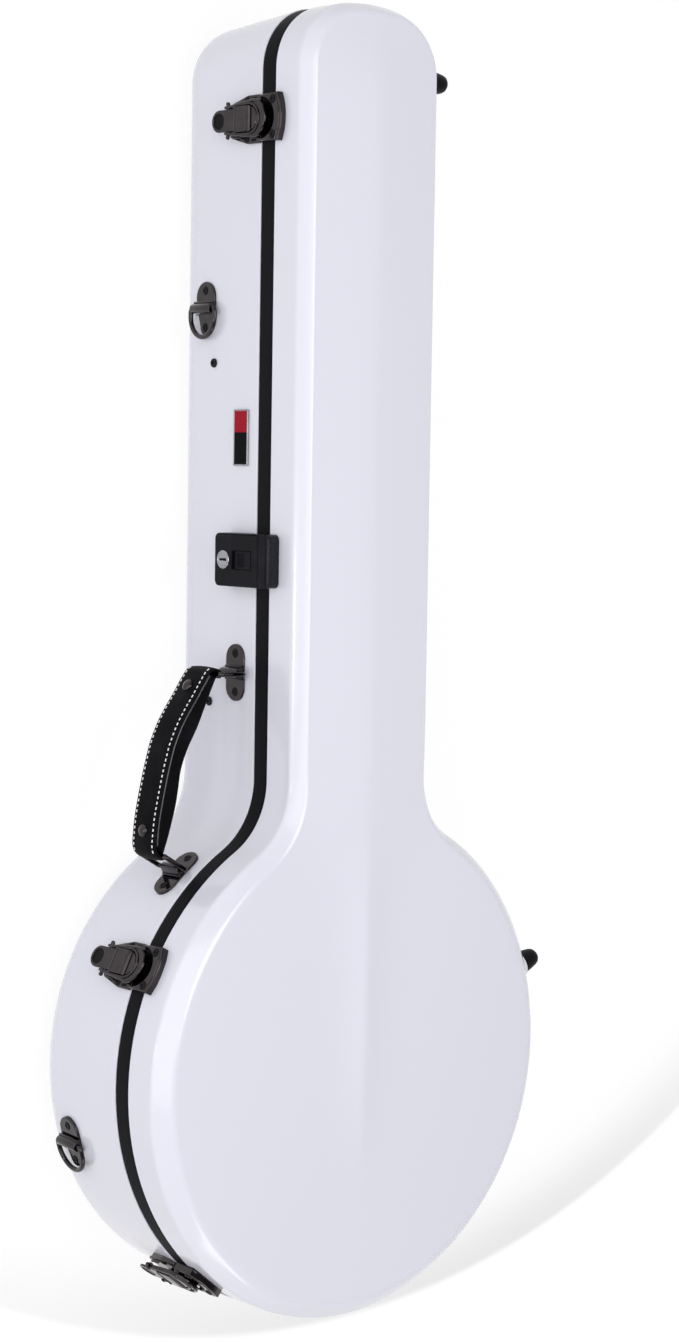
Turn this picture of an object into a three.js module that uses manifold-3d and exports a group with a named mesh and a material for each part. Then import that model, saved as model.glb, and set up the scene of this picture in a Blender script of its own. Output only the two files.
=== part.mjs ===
// Hard case for a resonator banjo, lying closed on its back.
// Millimetres, +Z up. The origin is the centre of the round body, on the back face.
// +Y runs along the neck to its end and +X runs to the hinge side.

import * as THREE from 'three';
import { mergeVertices } from 'three/addons/utils/BufferGeometryUtils.js';
import Module from 'manifold-3d';

const wasm = await Module();
wasm.setup();

// Outline at the rim
const body_radius = 202;
const neck_end_y = 828;
const neck_half_width = 69.5;
const neck_corner_radius = 51.5;
const neck_end_radius = 160;
const shoulder_radius = 61.5;

// Shells, from the back face up
const base_depth = 117.3;
const base_draft_deg = 4.6;
const back_edge_radius = 36;
const seal_height = 16.3;
const seal_recess = 1;
const seal_width = 6;
const lid_wall_height = 26.7;
const lid_bevel_height = 12.6;
const lid_bevel_width_neck = 7.1;
const lid_bevel_width_body = 13;
const lid_crown = 4.5;
const shell_wall = 4;

// Padding and the neck's fittings inside
const padding_side = 17;
const padding_floor = 20;
const padding_lid = 8;
const cradle = { start_y: 548, length: 52, height: 68, notch_width: 58, notch_depth: 26 };
const partition = { y: 325, thickness: 6, height: 36 };
const pocket_lid = { thickness: 5, edge_gap: 4.5, tab_width: 16, tab_length: 24, tab_thickness: 1.5 };

// Clearances
const seat = 0.3;
const overrun = 5;
const soft_gap = 0.5;

// Facet counts
const end_steps = 2;
const corner_steps = 6;
const neck_steps = 4;
const shoulder_steps = 5;
const body_upper_steps = 8;
const body_lower_steps = 13;
const edge_steps = 5;
const inner_edge_steps = 3;
const round_sides = 14;
const small_sides = 10;
const wire_sides = 8;
const bend_steps = 2;
const bow_steps = 5;
const curve_steps = 6;

// Shares of the lid's section: how far in and how high its softened edge runs, and where
// the face's rows lie between the middle line and the edge
const soften_shares = [
  { inset: 0, rise: -0.1 },
  { inset: 0.1, rise: 0.18 },
  { inset: 0.8, rise: 0.9 },
  { inset: 1.35, rise: 1 },
];
const face_shares = [1, 0.72, 0.42, 0.18, 0, -0.18, -0.42, -0.72, -1];
const crown_foot_shares = { from: -0.65, to: 0.3 };
const bevel_blend_shares = { from: -4, to: -1 };
const dome_shares = [[0, 0], [1, 0], [1, 0.4], [0.72, 0.85], [0, 1]];
const bend_share = 1.5;
const nose_share = 0.7;
const curl_share = 0.65;

const latch = {
  places: [
    { name: 'upper', y: 738 },
    { name: 'middle', angle_deg: 153.1 },
    { name: 'lower', angle_deg: -130 },
  ],
  plate_width: 37,
  plate_foot_width: 25,
  plate_top: 1.5,
  plate_knee: -14,
  plate_bottom: -36,
  plate_corner: 3.5,
  plate_face: 2.2,
  ear_inner: 6.6,
  ear_outer: 8.4,
  ear_radius: 2.4,
  ear_stem_rise: 0.4,
  fulcrum_x: 6.3,
  fulcrum_z: -7.3,
  fulcrum_radius: 1.5,
  cap_back: 2.9,
  cap_face: 8.7,
  cap_z: -5.5,
  cap_radius: 9.6,
  cap_root_half: 6,
  lever_half_width: 6.2,
  lever_inner_x: 4.4,
  nose_radius: 3.9,
  pad_half_width: 9.8,
  pad_thickness: 1.2,
  pad_bottom: -21.6,
  tongue_half_width: 8.6,
  tongue_top: -23,
  tongue_tip: -49.3,
  tongue_inner_x: 7.4,
  tongue_outer_x: 9.2,
  pin_x: 7.5,
  pin_z: -31.5,
  pin_radius: 1.5,
  pin_half_length: 12.8,
  ball_radius: 1.7,
  hasp_pin_inner: 8.9,
  hasp_pin_outer: 10.8,
  hasp_neck_low: -26.5,
  hasp_neck_high: -23.5,
  hasp_inner: 10.1,
  hasp_outer: 14.8,
  hasp_inner_x: 5.8,
  hasp_outer_x: 9.3,
  hasp_bend_z: -0.8,
  eye_radius: 3,
  running: 0.3,
  keeper_half_width: 18.3,
  keeper_foot_half_width: 17.5,
  keeper_top: 28.6,
  keeper_shoulder: 24.6,
  keeper_bottom: 3.5,
  keeper_face: 5.2,
  recess_z: 4.7,
  recess_radius: 15.2,
  recess_floor: 2,
  lip_half_width: 7,
  lip_bottom: 6,
  lip_top: 11.5,
};

const hook = {
  plate_width: 25,
  plate_thickness: 2,
  top: 21,
  foot: -21,
  foot_width: 14,
  knuckle_half_length: 10,
  knuckle_radius: 4,
  bar_x: 4.4,
  bore_radius: 2.4,
  wire_radius: 2,
  ring_half_width: 16.6,
  ring_drop: 22.5,
  screw_places: [14, -15],
};
const latch_screw_shares = [[0.76, 0.42], [-0.76, 0.42]];
const hinge_screw_shares = [-0.65, 0, 0.65];
const d_ring_height = -70.5;
const d_ring_y = 595.5;
const d_ring_angle_deg = -163.7;

const bracket = {
  half_length: 22.5,
  width: 22.5,
  thickness: 2,
  knuckle_half_length: 10.5,
  knuckle_radius: 4.2,
  rod_x: 6,
  bore_radius: 2.4,
};
const bail = { wire_radius: 2, half_width: 17, reach: 19.5 };
const grip = {
  height: -24,
  width: 21.6,
  arch: 18.7,
  half_thickness: 10,
  upper_eye_radius: 2.4,
  lower_eye_radius: 4.1,
};
// At each share of the way along the grip's chord: how far its arch stands off the chord,
// and half its thickness there.
const grip_shares = [
  { along: 0, rise: 0, half: 0.54 },
  { along: 0.06, rise: 0.56, half: 0.78 },
  { along: 0.155, rise: 0.8, half: 0.94 },
  { along: 0.26, rise: 0.92, half: 1 },
  { along: 0.4, rise: 1, half: 1 },
  { along: 0.55, rise: 0.97, half: 1 },
  { along: 0.71, rise: 0.82, half: 1 },
  { along: 0.82, rise: 0.74, half: 0.98 },
  { along: 0.91, rise: 0.57, half: 0.9 },
  { along: 0.965, rise: 0.36, half: 0.74 },
  { along: 1, rise: 0, half: 0.54 },
];
const grip_end_shares = [0.25, 0.5, 0.75];
const stud = { radius: 5, height: 3, places: [{ name: 'upper', step: 2 }, { name: 'lower', step: 8 }] };
const upper_bracket_y = 310;
const lower_bracket_angle_deg = 128.9;
const upper_bail_angle_deg = 178.5;
const lower_bail_angle_deg = 149.5;

const lock = {
  y: 399,
  half_length: 20.75,
  bottom: -36,
  housing_top: 15.8,
  keeper_bottom: 16.9,
  keeper_top: 27.8,
  face: 12.2,
  corner: 4.5,
  slider_half_width: 7,
  slider_bottom: -10,
  slider_top: 8,
  slider_travel: 5,
  slider_depth: 3,
  slider_proud: 0.9,
  cylinder_z: -25.2,
  cylinder_radius: 7.3,
  cylinder_proud: 0.8,
  key_slot_width: 1.6,
  key_slot_length: 9,
  key_slot_depth: 2.5,
};

const badge = { y: 494, height: -20.5, half_length: 22, half_width: 9.5, face: 2, rim: 1, sunk: 0.8 };

const hinge = {
  standoff: 6,
  boss_depth: 24,
  neck_y: 735,
  body_y: 14,
  half_length: 20,
  knuckle_half_length: 6.5,
  knuckle_radius: 4,
  pin_radius: 1.8,
  bore_radius: 2.1,
  leaf_thickness: 2.5,
  leaf_back: -4.5,
  base_leaf_length: 22,
  lid_leaf_length: 15,
  pin_head_radius: 3,
  pin_head_length: 2,
  boss_margin: 3,
};

const foot = {
  neck_y: 777,
  body_angle_deg: 15.7,
  lid_height: 30,
  base_height: -74,
  boss_radius: 12,
  boss_length: 5,
  boss_root: -15,
  radius: 10,
  tip_radius: 7.6,
  length: 20,
  shoulder: 15.5,
  crown_radius: 4,
};

const screw = { radius: 3.1, height: 1.3 };
const side_screw = {
  radius: 3.6,
  height: 1.8,
  places: [{ name: 'upper', y: 552.5, z: -59.6 }, { name: 'lower', y: 284.4, z: -61 }],
};

// Levels worked out from the sizes above
const draft = THREE.MathUtils.degToRad(base_draft_deg);
const lid_foot_z = base_depth + seal_height;
const lid_shoulder_z = lid_foot_z + lid_wall_height;
const lid_face_z = lid_shoulder_z + lid_bevel_height;
const body_turn = Math.PI / 2;
const axis_x = new THREE.Vector3(1, 0, 0);
const axis_y = new THREE.Vector3(0, 1, 0);

const white_shell = { color: 0xe4e4f0, roughness: 0.18, metalness: 0 };
const black_seal = { color: 0x17171c, roughness: 0.75, metalness: 0 };
const gunmetal = { color: 0x4a474b, roughness: 0.22, metalness: 1 };
const black_plastic = { color: 0x18181a, roughness: 0.4, metalness: 0 };
const steel = { color: 0xb9bac0, roughness: 0.3, metalness: 1 };
const leather = { color: 0x141316, roughness: 0.55, metalness: 0 };
const plush = { color: 0x1d1c22, roughness: 0.95, metalness: 0 };
const enamel = { color: 0x121215, roughness: 0.15, metalness: 0 };

const banjo_case = new THREE.Group();

// Turns a closed triangle list into a solid that can be cut and joined.
function toSolid(geometry) {
  const bare = geometry.clone();
  bare.deleteAttribute('normal');
  bare.deleteAttribute('uv');
  const merged = mergeVertices(bare);
  const vertProperties = new Float32Array(merged.attributes.position.array);
  const triVerts = new Uint32Array(merged.index.array);
  return new wasm.Manifold(new wasm.Mesh({ numProp: 3, vertProperties, triVerts }));
}

function toGeometry(solid) {
  const mesh = solid.getMesh();
  const geometry = new THREE.BufferGeometry();
  geometry.setAttribute('position', new THREE.BufferAttribute(new Float32Array(mesh.vertProperties), 3));
  geometry.setIndex(new THREE.BufferAttribute(new Uint32Array(mesh.triVerts), 1));
  geometry.computeVertexNormals();
  return geometry;
}

function moved(solid, matrix) {
  return solid.transform([...matrix.elements]);
}

function addPart(parent, name, solid, look) {
  const part = new THREE.Mesh(toGeometry(solid), new THREE.MeshStandardMaterial(look));
  part.name = name;
  parent.add(part);
  return part;
}

function joined(solids) {
  return solids.reduce((whole, next) => whole.add(next));
}

// Centre of the round corner between the neck's end and its side.
function neckCornerCentre() {
  const x = neck_half_width - neck_corner_radius;
  const rise = Math.sqrt((neck_end_radius - neck_corner_radius) ** 2 - x ** 2);
  return new THREE.Vector2(x, neck_end_y - neck_end_radius + rise);
}

// One side of the outline, from the middle of the neck's end down to the foot of the body.
// Each point has the direction that leads straight into the case.
function outlineSide() {
  const points = [];
  const addArc = (centre, radius, from, to, steps, inward) => {
    const first = points.length === 0 ? 0 : 1;
    for (let i = first; i <= steps; i += 1) {
      const angle = from + ((to - from) * i) / steps;
      const ray = new THREE.Vector2(Math.cos(angle), Math.sin(angle));
      points.push({
        x: centre.x + radius * ray.x,
        y: centre.y + radius * ray.y,
        in_x: inward * ray.x,
        in_y: inward * ray.y,
      });
    }
  };
  const end_centre = new THREE.Vector2(0, neck_end_y - neck_end_radius);
  const corner_centre = neckCornerCentre();
  const corner_start = Math.atan2(corner_centre.y - end_centre.y, corner_centre.x);
  const shoulder_x = neck_half_width + shoulder_radius;
  const shoulder_y = Math.sqrt((body_radius + shoulder_radius) ** 2 - shoulder_x ** 2);
  const shoulder_turn = Math.atan2(shoulder_y, shoulder_x);
  const shoulder_centre = new THREE.Vector2(shoulder_x, shoulder_y);
  const body_centre = new THREE.Vector2(0, 0);

  addArc(end_centre, neck_end_radius, body_turn, corner_start, end_steps, -1);
  addArc(corner_centre, neck_corner_radius, corner_start, 0, corner_steps, -1);
  for (let i = 1; i < neck_steps; i += 1) {
    const y = THREE.MathUtils.lerp(corner_centre.y, shoulder_y, i / neck_steps);
    points.push({ x: neck_half_width, y, in_x: -1, in_y: 0 });
  }
  points.push({ x: neck_half_width, y: shoulder_y, in_x: -1, in_y: 0 });
  addArc(shoulder_centre, shoulder_radius, Math.PI, Math.PI + shoulder_turn, shoulder_steps, 1);
  addArc(body_centre, body_radius, shoulder_turn, 0, body_upper_steps, -1);
  addArc(body_centre, body_radius, 0, -body_turn, body_lower_steps, -1);
  return points;
}

const side = outlineSide();

// A closed ring round the case at one height, set in from the outline by an amount
// that may change from point to point.
function ringAt(inset, z) {
  const insetOf = typeof inset === 'function' ? inset : () => inset;
  const right = side.map((point, i) => {
    const depth = insetOf(point);
    const on_axis = i === 0 || i === side.length - 1;
    const x = on_axis ? 0 : point.x + point.in_x * depth;
    return new THREE.Vector3(x, point.y + point.in_y * depth, z);
  });
  const left = right.slice(1, -1).reverse().map((p) => new THREE.Vector3(-p.x, p.y, p.z));
  return [...right, ...left];
}

function pushTriangle(list, a, b, c) {
  const flat = a.distanceToSquared(b) === 0 || b.distanceToSquared(c) === 0 || c.distanceToSquared(a) === 0;
  if (!flat) {
    list.push(...a.toArray(), ...b.toArray(), ...c.toArray());
  }
}

// Closes a ring with rows that run from its right side to its left side.
function addCap(list, ring, shares, riseOf) {
  const rows = side.map((unused, i) => {
    const edge = ring[i];
    return shares.map((share) => new THREE.Vector3(edge.x * share, edge.y, edge.z + riseOf(share, edge)));
  });
  for (let i = 0; i + 1 < rows.length; i += 1) {
    for (let j = 0; j + 1 < shares.length; j += 1) {
      pushTriangle(list, rows[i][j], rows[i][j + 1], rows[i + 1][j + 1]);
      pushTriangle(list, rows[i][j], rows[i + 1][j + 1], rows[i + 1][j]);
    }
  }
}

// The same triangles, facing the other way.
function reversed(list) {
  const flipped = [];
  for (let t = 0; t < list.length; t += 9) {
    flipped.push(...list.slice(t, t + 3), ...list.slice(t + 6, t + 9), ...list.slice(t + 3, t + 6));
  }
  return flipped;
}

// A solid whose skin runs through the rings in order, with a cap on its first and last ring.
function loftedSolid(rings, first_cap, last_cap) {
  const list = [];
  const front = [];
  addCap(front, rings[0], first_cap.shares, first_cap.riseOf);
  list.push(...reversed(front));
  for (let k = 0; k + 1 < rings.length; k += 1) {
    const [low, high] = [rings[k], rings[k + 1]];
    for (let i = 0; i < low.length; i += 1) {
      const j = (i + 1) % low.length;
      pushTriangle(list, low[i], high[j], low[j]);
      pushTriangle(list, low[i], high[i], high[j]);
    }
  }
  addCap(list, rings[rings.length - 1], last_cap.shares, last_cap.riseOf);
  const geometry = new THREE.BufferGeometry();
  geometry.setAttribute('position', new THREE.Float32BufferAttribute(turnedOut(list), 3));
  return toSolid(geometry);
}

// Reverses the triangles where they enclose a negative volume.
function turnedOut(list) {
  let volume = 0;
  for (let t = 0; t < list.length; t += 9) {
    const a = new THREE.Vector3().fromArray(list, t);
    const b = new THREE.Vector3().fromArray(list, t + 3);
    const c = new THREE.Vector3().fromArray(list, t + 6);
    volume += a.dot(b.cross(c));
  }
  return volume > 0 ? list : reversed(list);
}

const flat_cap = { shares: [1, -1], riseOf: () => 0 };

// Inset of the base's drafted wall at a height, before the back edge turns in.
function draftInset(z) {
  return Math.tan(draft) * (base_depth - z);
}

// Section of the base's outside, or of a surface that lies a constant depth inside it.
function baseSection(depth, steps) {
  const radius = back_edge_radius - depth;
  const centre_z = back_edge_radius;
  const touch_z = back_edge_radius - back_edge_radius * Math.sin(draft);
  const centre_inset = draftInset(touch_z) + back_edge_radius * Math.cos(draft);
  const section = [];
  for (let i = 0; i <= steps; i += 1) {
    const angle = THREE.MathUtils.lerp(3 * body_turn, Math.PI + draft, i / steps);
    section.push({
      inset: centre_inset + radius * Math.cos(angle),
      z: centre_z + radius * Math.sin(angle),
    });
  }
  return section;
}

function makeBaseShell() {
  const outer = baseSection(0, edge_steps);
  const inner = baseSection(shell_wall, inner_edge_steps).reverse();
  const rings = outer.map((p) => ringAt(p.inset, p.z));
  rings.push(ringAt(0, base_depth));
  rings.push(ringAt(shell_wall / Math.cos(draft), base_depth));
  rings.push(...inner.map((p) => ringAt(p.inset, p.z)));
  return loftedSolid(rings, flat_cap, flat_cap);
}

function makeBasePadding() {
  const outer = baseSection(shell_wall + seat, inner_edge_steps);
  const rings = outer.map((p) => ringAt(p.inset, p.z));
  rings.push(ringAt(rim_inset, base_depth));
  rings.push(ringAt(hollow_inset, base_depth));
  rings.push(ringAt(hollow_inset, padding_floor_z));
  return loftedSolid(rings, flat_cap, flat_cap);
}

const padding_floor_z = shell_wall + seat + padding_floor;
const rim_inset = (shell_wall + seat) / Math.cos(draft);
const hollow_inset = rim_inset + padding_side;

function makeSealRing() {
  const low = base_depth + seat;
  const high = lid_foot_z - seat;
  const outer = loftedSolid([ringAt(seal_recess, low), ringAt(seal_recess, high)], flat_cap, flat_cap);
  const hole_inset = seal_recess + seal_width;
  const hole = loftedSolid(
    [ringAt(hole_inset, low - overrun), ringAt(hole_inset, high + overrun)],
    flat_cap,
    flat_cap,
  );
  return outer.subtract(hole);
}

// Width of the lid's bevel, which grows from the neck to the body.
function bevelWidth(point) {
  const { from, to } = bevel_blend_shares;
  const blend = THREE.MathUtils.smoothstep(-point.y, neck_half_width * from, neck_half_width * to);
  return THREE.MathUtils.lerp(lid_bevel_width_neck, lid_bevel_width_body, blend);
}

// Height of the lid's soft ridge: the face falls off from the middle line at the same
// slope on neck and body, and the ridge dies out at the neck's end and low on the body.
function crownRise(share, edge) {
  const neck_face = neck_half_width - lid_bevel_width_neck;
  const power = Math.max(edge.x / neck_face, 1);
  const away = Math.max(1 - Math.abs(share), 0) ** power;
  const at_end = THREE.MathUtils.smoothstep(neck_end_y - edge.y, 0, neck_half_width);
  const { from, to } = crown_foot_shares;
  const at_foot = THREE.MathUtils.smoothstep(edge.y, body_radius * from, body_radius * to);
  return lid_crown * away * at_end * at_foot;
}

function makeLidShell() {
  const outer = soften_shares.map(({ inset, rise }) => ringAt(
    (point) => bevelWidth(point) * inset,
    lid_shoulder_z + lid_bevel_height * rise,
  )).reverse();
  const rings = [
    ...outer,
    ringAt(0, lid_foot_z),
    ringAt(shell_wall, lid_foot_z),
    ringAt(shell_wall, lid_shoulder_z - shell_wall / 2),
    ringAt((point) => shell_wall + bevelWidth(point), lid_face_z - shell_wall),
  ];
  return loftedSolid(rings, { shares: face_shares, riseOf: crownRise }, flat_cap);
}

function makeLidPadding() {
  const depth = shell_wall + soft_gap;
  const low = lid_foot_z + soft_gap;
  const high = lid_face_z - depth;
  const rings = [
    ringAt((point) => depth + soft_gap + bevelWidth(point), high),
    ringAt(depth, lid_shoulder_z - depth),
    ringAt(depth, low),
    ringAt(depth + padding_lid, low),
    ringAt(depth + padding_lid, lid_shoulder_z - depth - padding_lid / 2),
    ringAt((point) => depth + padding_lid + bevelWidth(point), high - padding_lid),
  ];
  return loftedSolid(rings, flat_cap, flat_cap);
}

// Everything that fastened pieces are kept out of: the closed case, grown by the seating gap.
function makeEnvelope() {
  const rings = baseSection(-seat, edge_steps).map((p) => ringAt(p.inset, p.z));
  rings.push(ringAt(-seat, base_depth));
  rings.push(ringAt(-seat, lid_shoulder_z));
  rings.push(ringAt((point) => bevelWidth(point) - seat, lid_face_z));
  return loftedSolid(rings, flat_cap, flat_cap);
}

const envelope = makeEnvelope();

// Plain building blocks

function boxBetween(low, high) {
  const size = new THREE.Vector3(high[0] - low[0], high[1] - low[1], high[2] - low[2]);
  const box = new THREE.BoxGeometry(size.x, size.y, size.z);
  box.translate((high[0] + low[0]) / 2, (high[1] + low[1]) / 2, (high[2] + low[2]) / 2);
  return toSolid(box);
}

// A prism whose outline is given in two of the axes and whose length runs along the third.
function prism(points, axis, from, to) {
  const shape = points instanceof THREE.Shape ? points : new THREE.Shape(points);
  const settings = { depth: to - from, bevelEnabled: false, curveSegments: curve_steps };
  const geometry = new THREE.ExtrudeGeometry(shape, settings);
  geometry.translate(0, 0, from);
  const turns = {
    x: new THREE.Matrix4().set(0, 0, 1, 0, 1, 0, 0, 0, 0, 1, 0, 0, 0, 0, 0, 1),
    y: new THREE.Matrix4().set(1, 0, 0, 0, 0, 0, -1, 0, 0, 1, 0, 0, 0, 0, 0, 1),
    z: new THREE.Matrix4(),
  };
  geometry.applyMatrix4(turns[axis]);
  return toSolid(geometry);
}

function v2(x, y) {
  return new THREE.Vector2(x, y);
}

// A rod along one axis through a point.
function rod(axis, centre, radius, length, sides = round_sides) {
  const cylinder = new THREE.CylinderGeometry(radius, radius, length, sides);
  if (axis === 'x') {
    cylinder.rotateZ(-body_turn);
  }
  if (axis === 'z') {
    cylinder.rotateX(body_turn);
  }
  cylinder.translate(...centre);
  return toSolid(cylinder);
}

function ball(centre, radius) {
  const sphere = new THREE.SphereGeometry(radius, small_sides, small_sides / 2);
  sphere.translate(...centre);
  return toSolid(sphere);
}

// A turned solid whose axis points along +X, from a profile of [radius, distance] pairs.
function turned(profile, sides = round_sides) {
  const lathe = new THREE.LatheGeometry(profile.map(([r, h]) => v2(r, h)), sides);
  lathe.rotateZ(-body_turn);
  return toSolid(lathe);
}

// A low round head whose flat back lies at distance x.
function domeHead(x, y, z, radius, height) {
  const profile = dome_shares.map(([r, h]) => [radius * r, height * h]);
  return moved(turned(profile, small_sides), new THREE.Matrix4().makeTranslation(x, y, z));
}

// The head of a screw that is driven tight into a plate whose face lies at distance x.
function screwHead(x, y, z) {
  return domeHead(x - seat, y, z, screw.radius, screw.height + seat);
}

function roundedRectangle(low_a, low_b, high_a, high_b, radius) {
  const shape = new THREE.Shape();
  shape.moveTo(low_a + radius, low_b);
  shape.lineTo(high_a - radius, low_b);
  shape.absarc(high_a - radius, low_b + radius, radius, -body_turn, 0);
  shape.lineTo(high_a, high_b - radius);
  shape.absarc(high_a - radius, high_b - radius, radius, 0, body_turn);
  shape.lineTo(low_a + radius, high_b);
  shape.absarc(low_a + radius, high_b - radius, radius, body_turn, Math.PI);
  shape.lineTo(low_a, low_b + radius);
  shape.absarc(low_a + radius, low_b + radius, radius, Math.PI, 3 * body_turn);
  return shape;
}

// The points of a closed loop of straight runs that meet at right angles in round corners.
function roundedLoop(corners) {
  const points = [];
  corners.forEach(({ at, radius, steps }, i) => {
    const before = corners[(i + corners.length - 1) % corners.length].at;
    const after = corners[(i + 1) % corners.length].at;
    const back = before.clone().sub(at).normalize();
    const ahead = after.clone().sub(at).normalize();
    const centre = at.clone().addScaledVector(back, radius).addScaledVector(ahead, radius);
    for (let k = 0; k <= steps; k += 1) {
      const angle = (body_turn * k) / steps;
      points.push(centre.clone()
        .addScaledVector(ahead, -radius * Math.cos(angle))
        .addScaledVector(back, -radius * Math.sin(angle)));
    }
  });
  return points;
}

// A closed loop of round wire that lies in a plane, through a list of points.
function wireLoop(points, plane_normal, radius) {
  const count = points.length;
  const rings = points.map((centre, i) => {
    const before = points[(i + count - 1) % count];
    const after = points[(i + 1) % count];
    const into = centre.clone().sub(before).normalize();
    const out = after.clone().sub(centre).normalize();
    const sideways = into.add(out).normalize().cross(plane_normal);
    return Array.from({ length: wire_sides }, (unused, k) => {
      const angle = (2 * Math.PI * k) / wire_sides;
      return centre.clone()
        .addScaledVector(sideways, radius * Math.cos(angle))
        .addScaledVector(plane_normal, radius * Math.sin(angle));
    });
  });
  const list = [];
  rings.forEach((ring, i) => {
    const next = rings[(i + 1) % count];
    ring.forEach((point, k) => {
      const j = (k + 1) % wire_sides;
      pushTriangle(list, point, ring[j], next[j]);
      pushTriangle(list, point, next[j], next[k]);
    });
  });
  const geometry = new THREE.BufferGeometry();
  geometry.setAttribute('position', new THREE.Float32BufferAttribute(turnedOut(list), 3));
  return toSolid(geometry);
}

// A group that stands on the wall at the rim's height. Its +X points out of the case,
// its +Z up, and its +Y along the wall.
function wallGroup({ x, y, outward }) {
  const group = new THREE.Group();
  group.position.set(x, y, base_depth);
  group.rotation.z = outward;
  banjo_case.add(group);
  group.updateMatrixWorld(true);
  return group;
}

function neckWall(y, sign) {
  return { x: sign * neck_half_width, y, outward: sign > 0 ? 0 : Math.PI };
}

function bodyWall(angle) {
  return { x: body_radius * Math.cos(angle), y: body_radius * Math.sin(angle), outward: angle };
}

// Cuts a piece back so that it seats on the case.
function seated(solid, group) {
  return solid.subtract(moved(envelope, group.matrixWorld.clone().invert()));
}

// The hinge pins share the line that touches the body and the neck's corner on the right.
function hingeLine() {
  const corner = neckCornerCentre();
  const tilt = corner.angle() - Math.acos((body_radius - neck_corner_radius) / corner.length());
  return { tilt, distance: body_radius + hinge.standoff };
}

const hinge_line = hingeLine();

// Place along the hinge line, measured from its nearest point to the origin, for a given y.
function alongHinge(y) {
  return (y - hinge_line.distance * Math.sin(hinge_line.tilt)) / Math.cos(hinge_line.tilt);
}

const hinge_places = [
  { name: 'upper', along: alongHinge(hinge.neck_y) },
  { name: 'lower', along: alongHinge(hinge.body_y) },
];

function hingeGroup(along) {
  const group = new THREE.Group();
  const { tilt, distance } = hinge_line;
  group.position.set(
    distance * Math.cos(tilt) - along * Math.sin(tilt),
    distance * Math.sin(tilt) + along * Math.cos(tilt),
    lid_foot_z,
  );
  group.rotation.z = tilt;
  banjo_case.add(group);
  group.updateMatrixWorld(true);
  return group;
}

const hinge_groups = hinge_places.map(({ along }) => hingeGroup(along));

// A flat pad on the shell that carries a hinge leaf.
function hingeBoss(group, low, high) {
  const half = hinge.half_length + hinge.boss_margin;
  const block = boxBetween([-hinge.boss_depth, -half, low], [hinge.leaf_back - seat, half, high]);
  return moved(block, group.matrixWorld);
}

const foot_walls = [
  { name: 'upper', wall: neckWall(foot.neck_y, 1) },
  { name: 'lower', wall: bodyWall(THREE.MathUtils.degToRad(foot.body_angle_deg)) },
];

function footBoss(wall, height) {
  const group = wallGroup(wall);
  const length = foot.boss_length - foot.boss_root;
  const boss = rod('x', [foot.boss_root + length / 2, 0, height], foot.boss_radius, length);
  return moved(boss, group.matrixWorld);
}

const base_bosses = [
  ...hinge_groups.map((group) => hingeBoss(
    group,
    -seal_height - hinge.base_leaf_length - hinge.boss_margin,
    -seal_height,
  )),
  ...foot_walls.map(({ wall }) => footBoss(wall, foot.base_height)),
];
const lid_bosses = [
  ...hinge_groups.map((group) => hingeBoss(group, 0, hinge.lid_leaf_length + hinge.boss_margin)),
  ...foot_walls.map(({ wall }) => footBoss(wall, foot.lid_height)),
];

// The bosses are trimmed so that they only stand out of the shell.
function bossOutside(boss) {
  const rings = baseSection(shell_wall / 2, edge_steps).map((p) => ringAt(p.inset, p.z));
  rings.push(ringAt(shell_wall / 2, base_depth));
  rings.push(ringAt(shell_wall / 2, lid_face_z));
  return boss.subtract(loftedSolid(rings, flat_cap, flat_cap));
}

const base_shell = joined([makeBaseShell(), ...base_bosses.map(bossOutside)]);
const lid_shell = joined([makeLidShell(), ...lid_bosses.map(bossOutside)]);

// Shells, seal and padding

addPart(banjo_case, 'base_shell', base_shell, white_shell);
addPart(banjo_case, 'lid_shell', lid_shell, white_shell);
addPart(banjo_case, 'seal_ring', makeSealRing(), black_seal);
addPart(banjo_case, 'base_padding', makeBasePadding(), plush);
addPart(banjo_case, 'lid_padding', makeLidPadding(), plush);

// Neck cradle and lidded pocket

const channel_half = neck_half_width - hollow_inset;
const channel_fit = channel_half - soft_gap;
const pocket_floor = padding_floor_z + seat;
const pocket_top = pocket_floor + partition.height;

function makeCradle() {
  const block = boxBetween(
    [-channel_fit, cradle.start_y, pocket_floor],
    [channel_fit, cradle.start_y + cradle.length, pocket_floor + cradle.height],
  );
  const half = cradle.notch_width / 2;
  const top = pocket_floor + cradle.height;
  const taper = cradle.notch_depth / 2;
  const notch = prism(
    [
      v2(-half, top + overrun),
      v2(-half, top - cradle.notch_depth + taper),
      v2(-half + taper, top - cradle.notch_depth),
      v2(half - taper, top - cradle.notch_depth),
      v2(half, top - cradle.notch_depth + taper),
      v2(half, top + overrun),
    ],
    'y',
    -cradle.start_y - cradle.length - overrun,
    -cradle.start_y + overrun,
  );
  return block.subtract(notch);
}

addPart(banjo_case, 'neck_cradle', makeCradle(), plush);
addPart(banjo_case, 'pocket_partition', boxBetween(
  [-channel_fit, partition.y, pocket_floor],
  [channel_fit, partition.y + partition.thickness, pocket_top],
), plush);

const pocket_lid_low = pocket_top + seat;
const pocket_lid_high = pocket_lid_low + pocket_lid.thickness;
const pocket_lid_half = channel_half - pocket_lid.edge_gap;
addPart(banjo_case, 'pocket_lid', boxBetween(
  [-pocket_lid_half, partition.y, pocket_lid_low],
  [pocket_lid_half, cradle.start_y - soft_gap, pocket_lid_high],
), plush);

const tab_y = (partition.y + cradle.start_y) / 2;
const tab_x = -pocket_lid_half + pocket_lid.tab_length / 2;
addPart(banjo_case, 'pocket_lid_tab', boxBetween(
  [tab_x, tab_y - pocket_lid.tab_width / 2, pocket_lid_high + seat],
  [tab_x + pocket_lid.tab_length, tab_y + pocket_lid.tab_width / 2,
    pocket_lid_high + seat + pocket_lid.tab_thickness],
), leather);

// Latches: base plate with ears, lever, hasp and keeper

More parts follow.
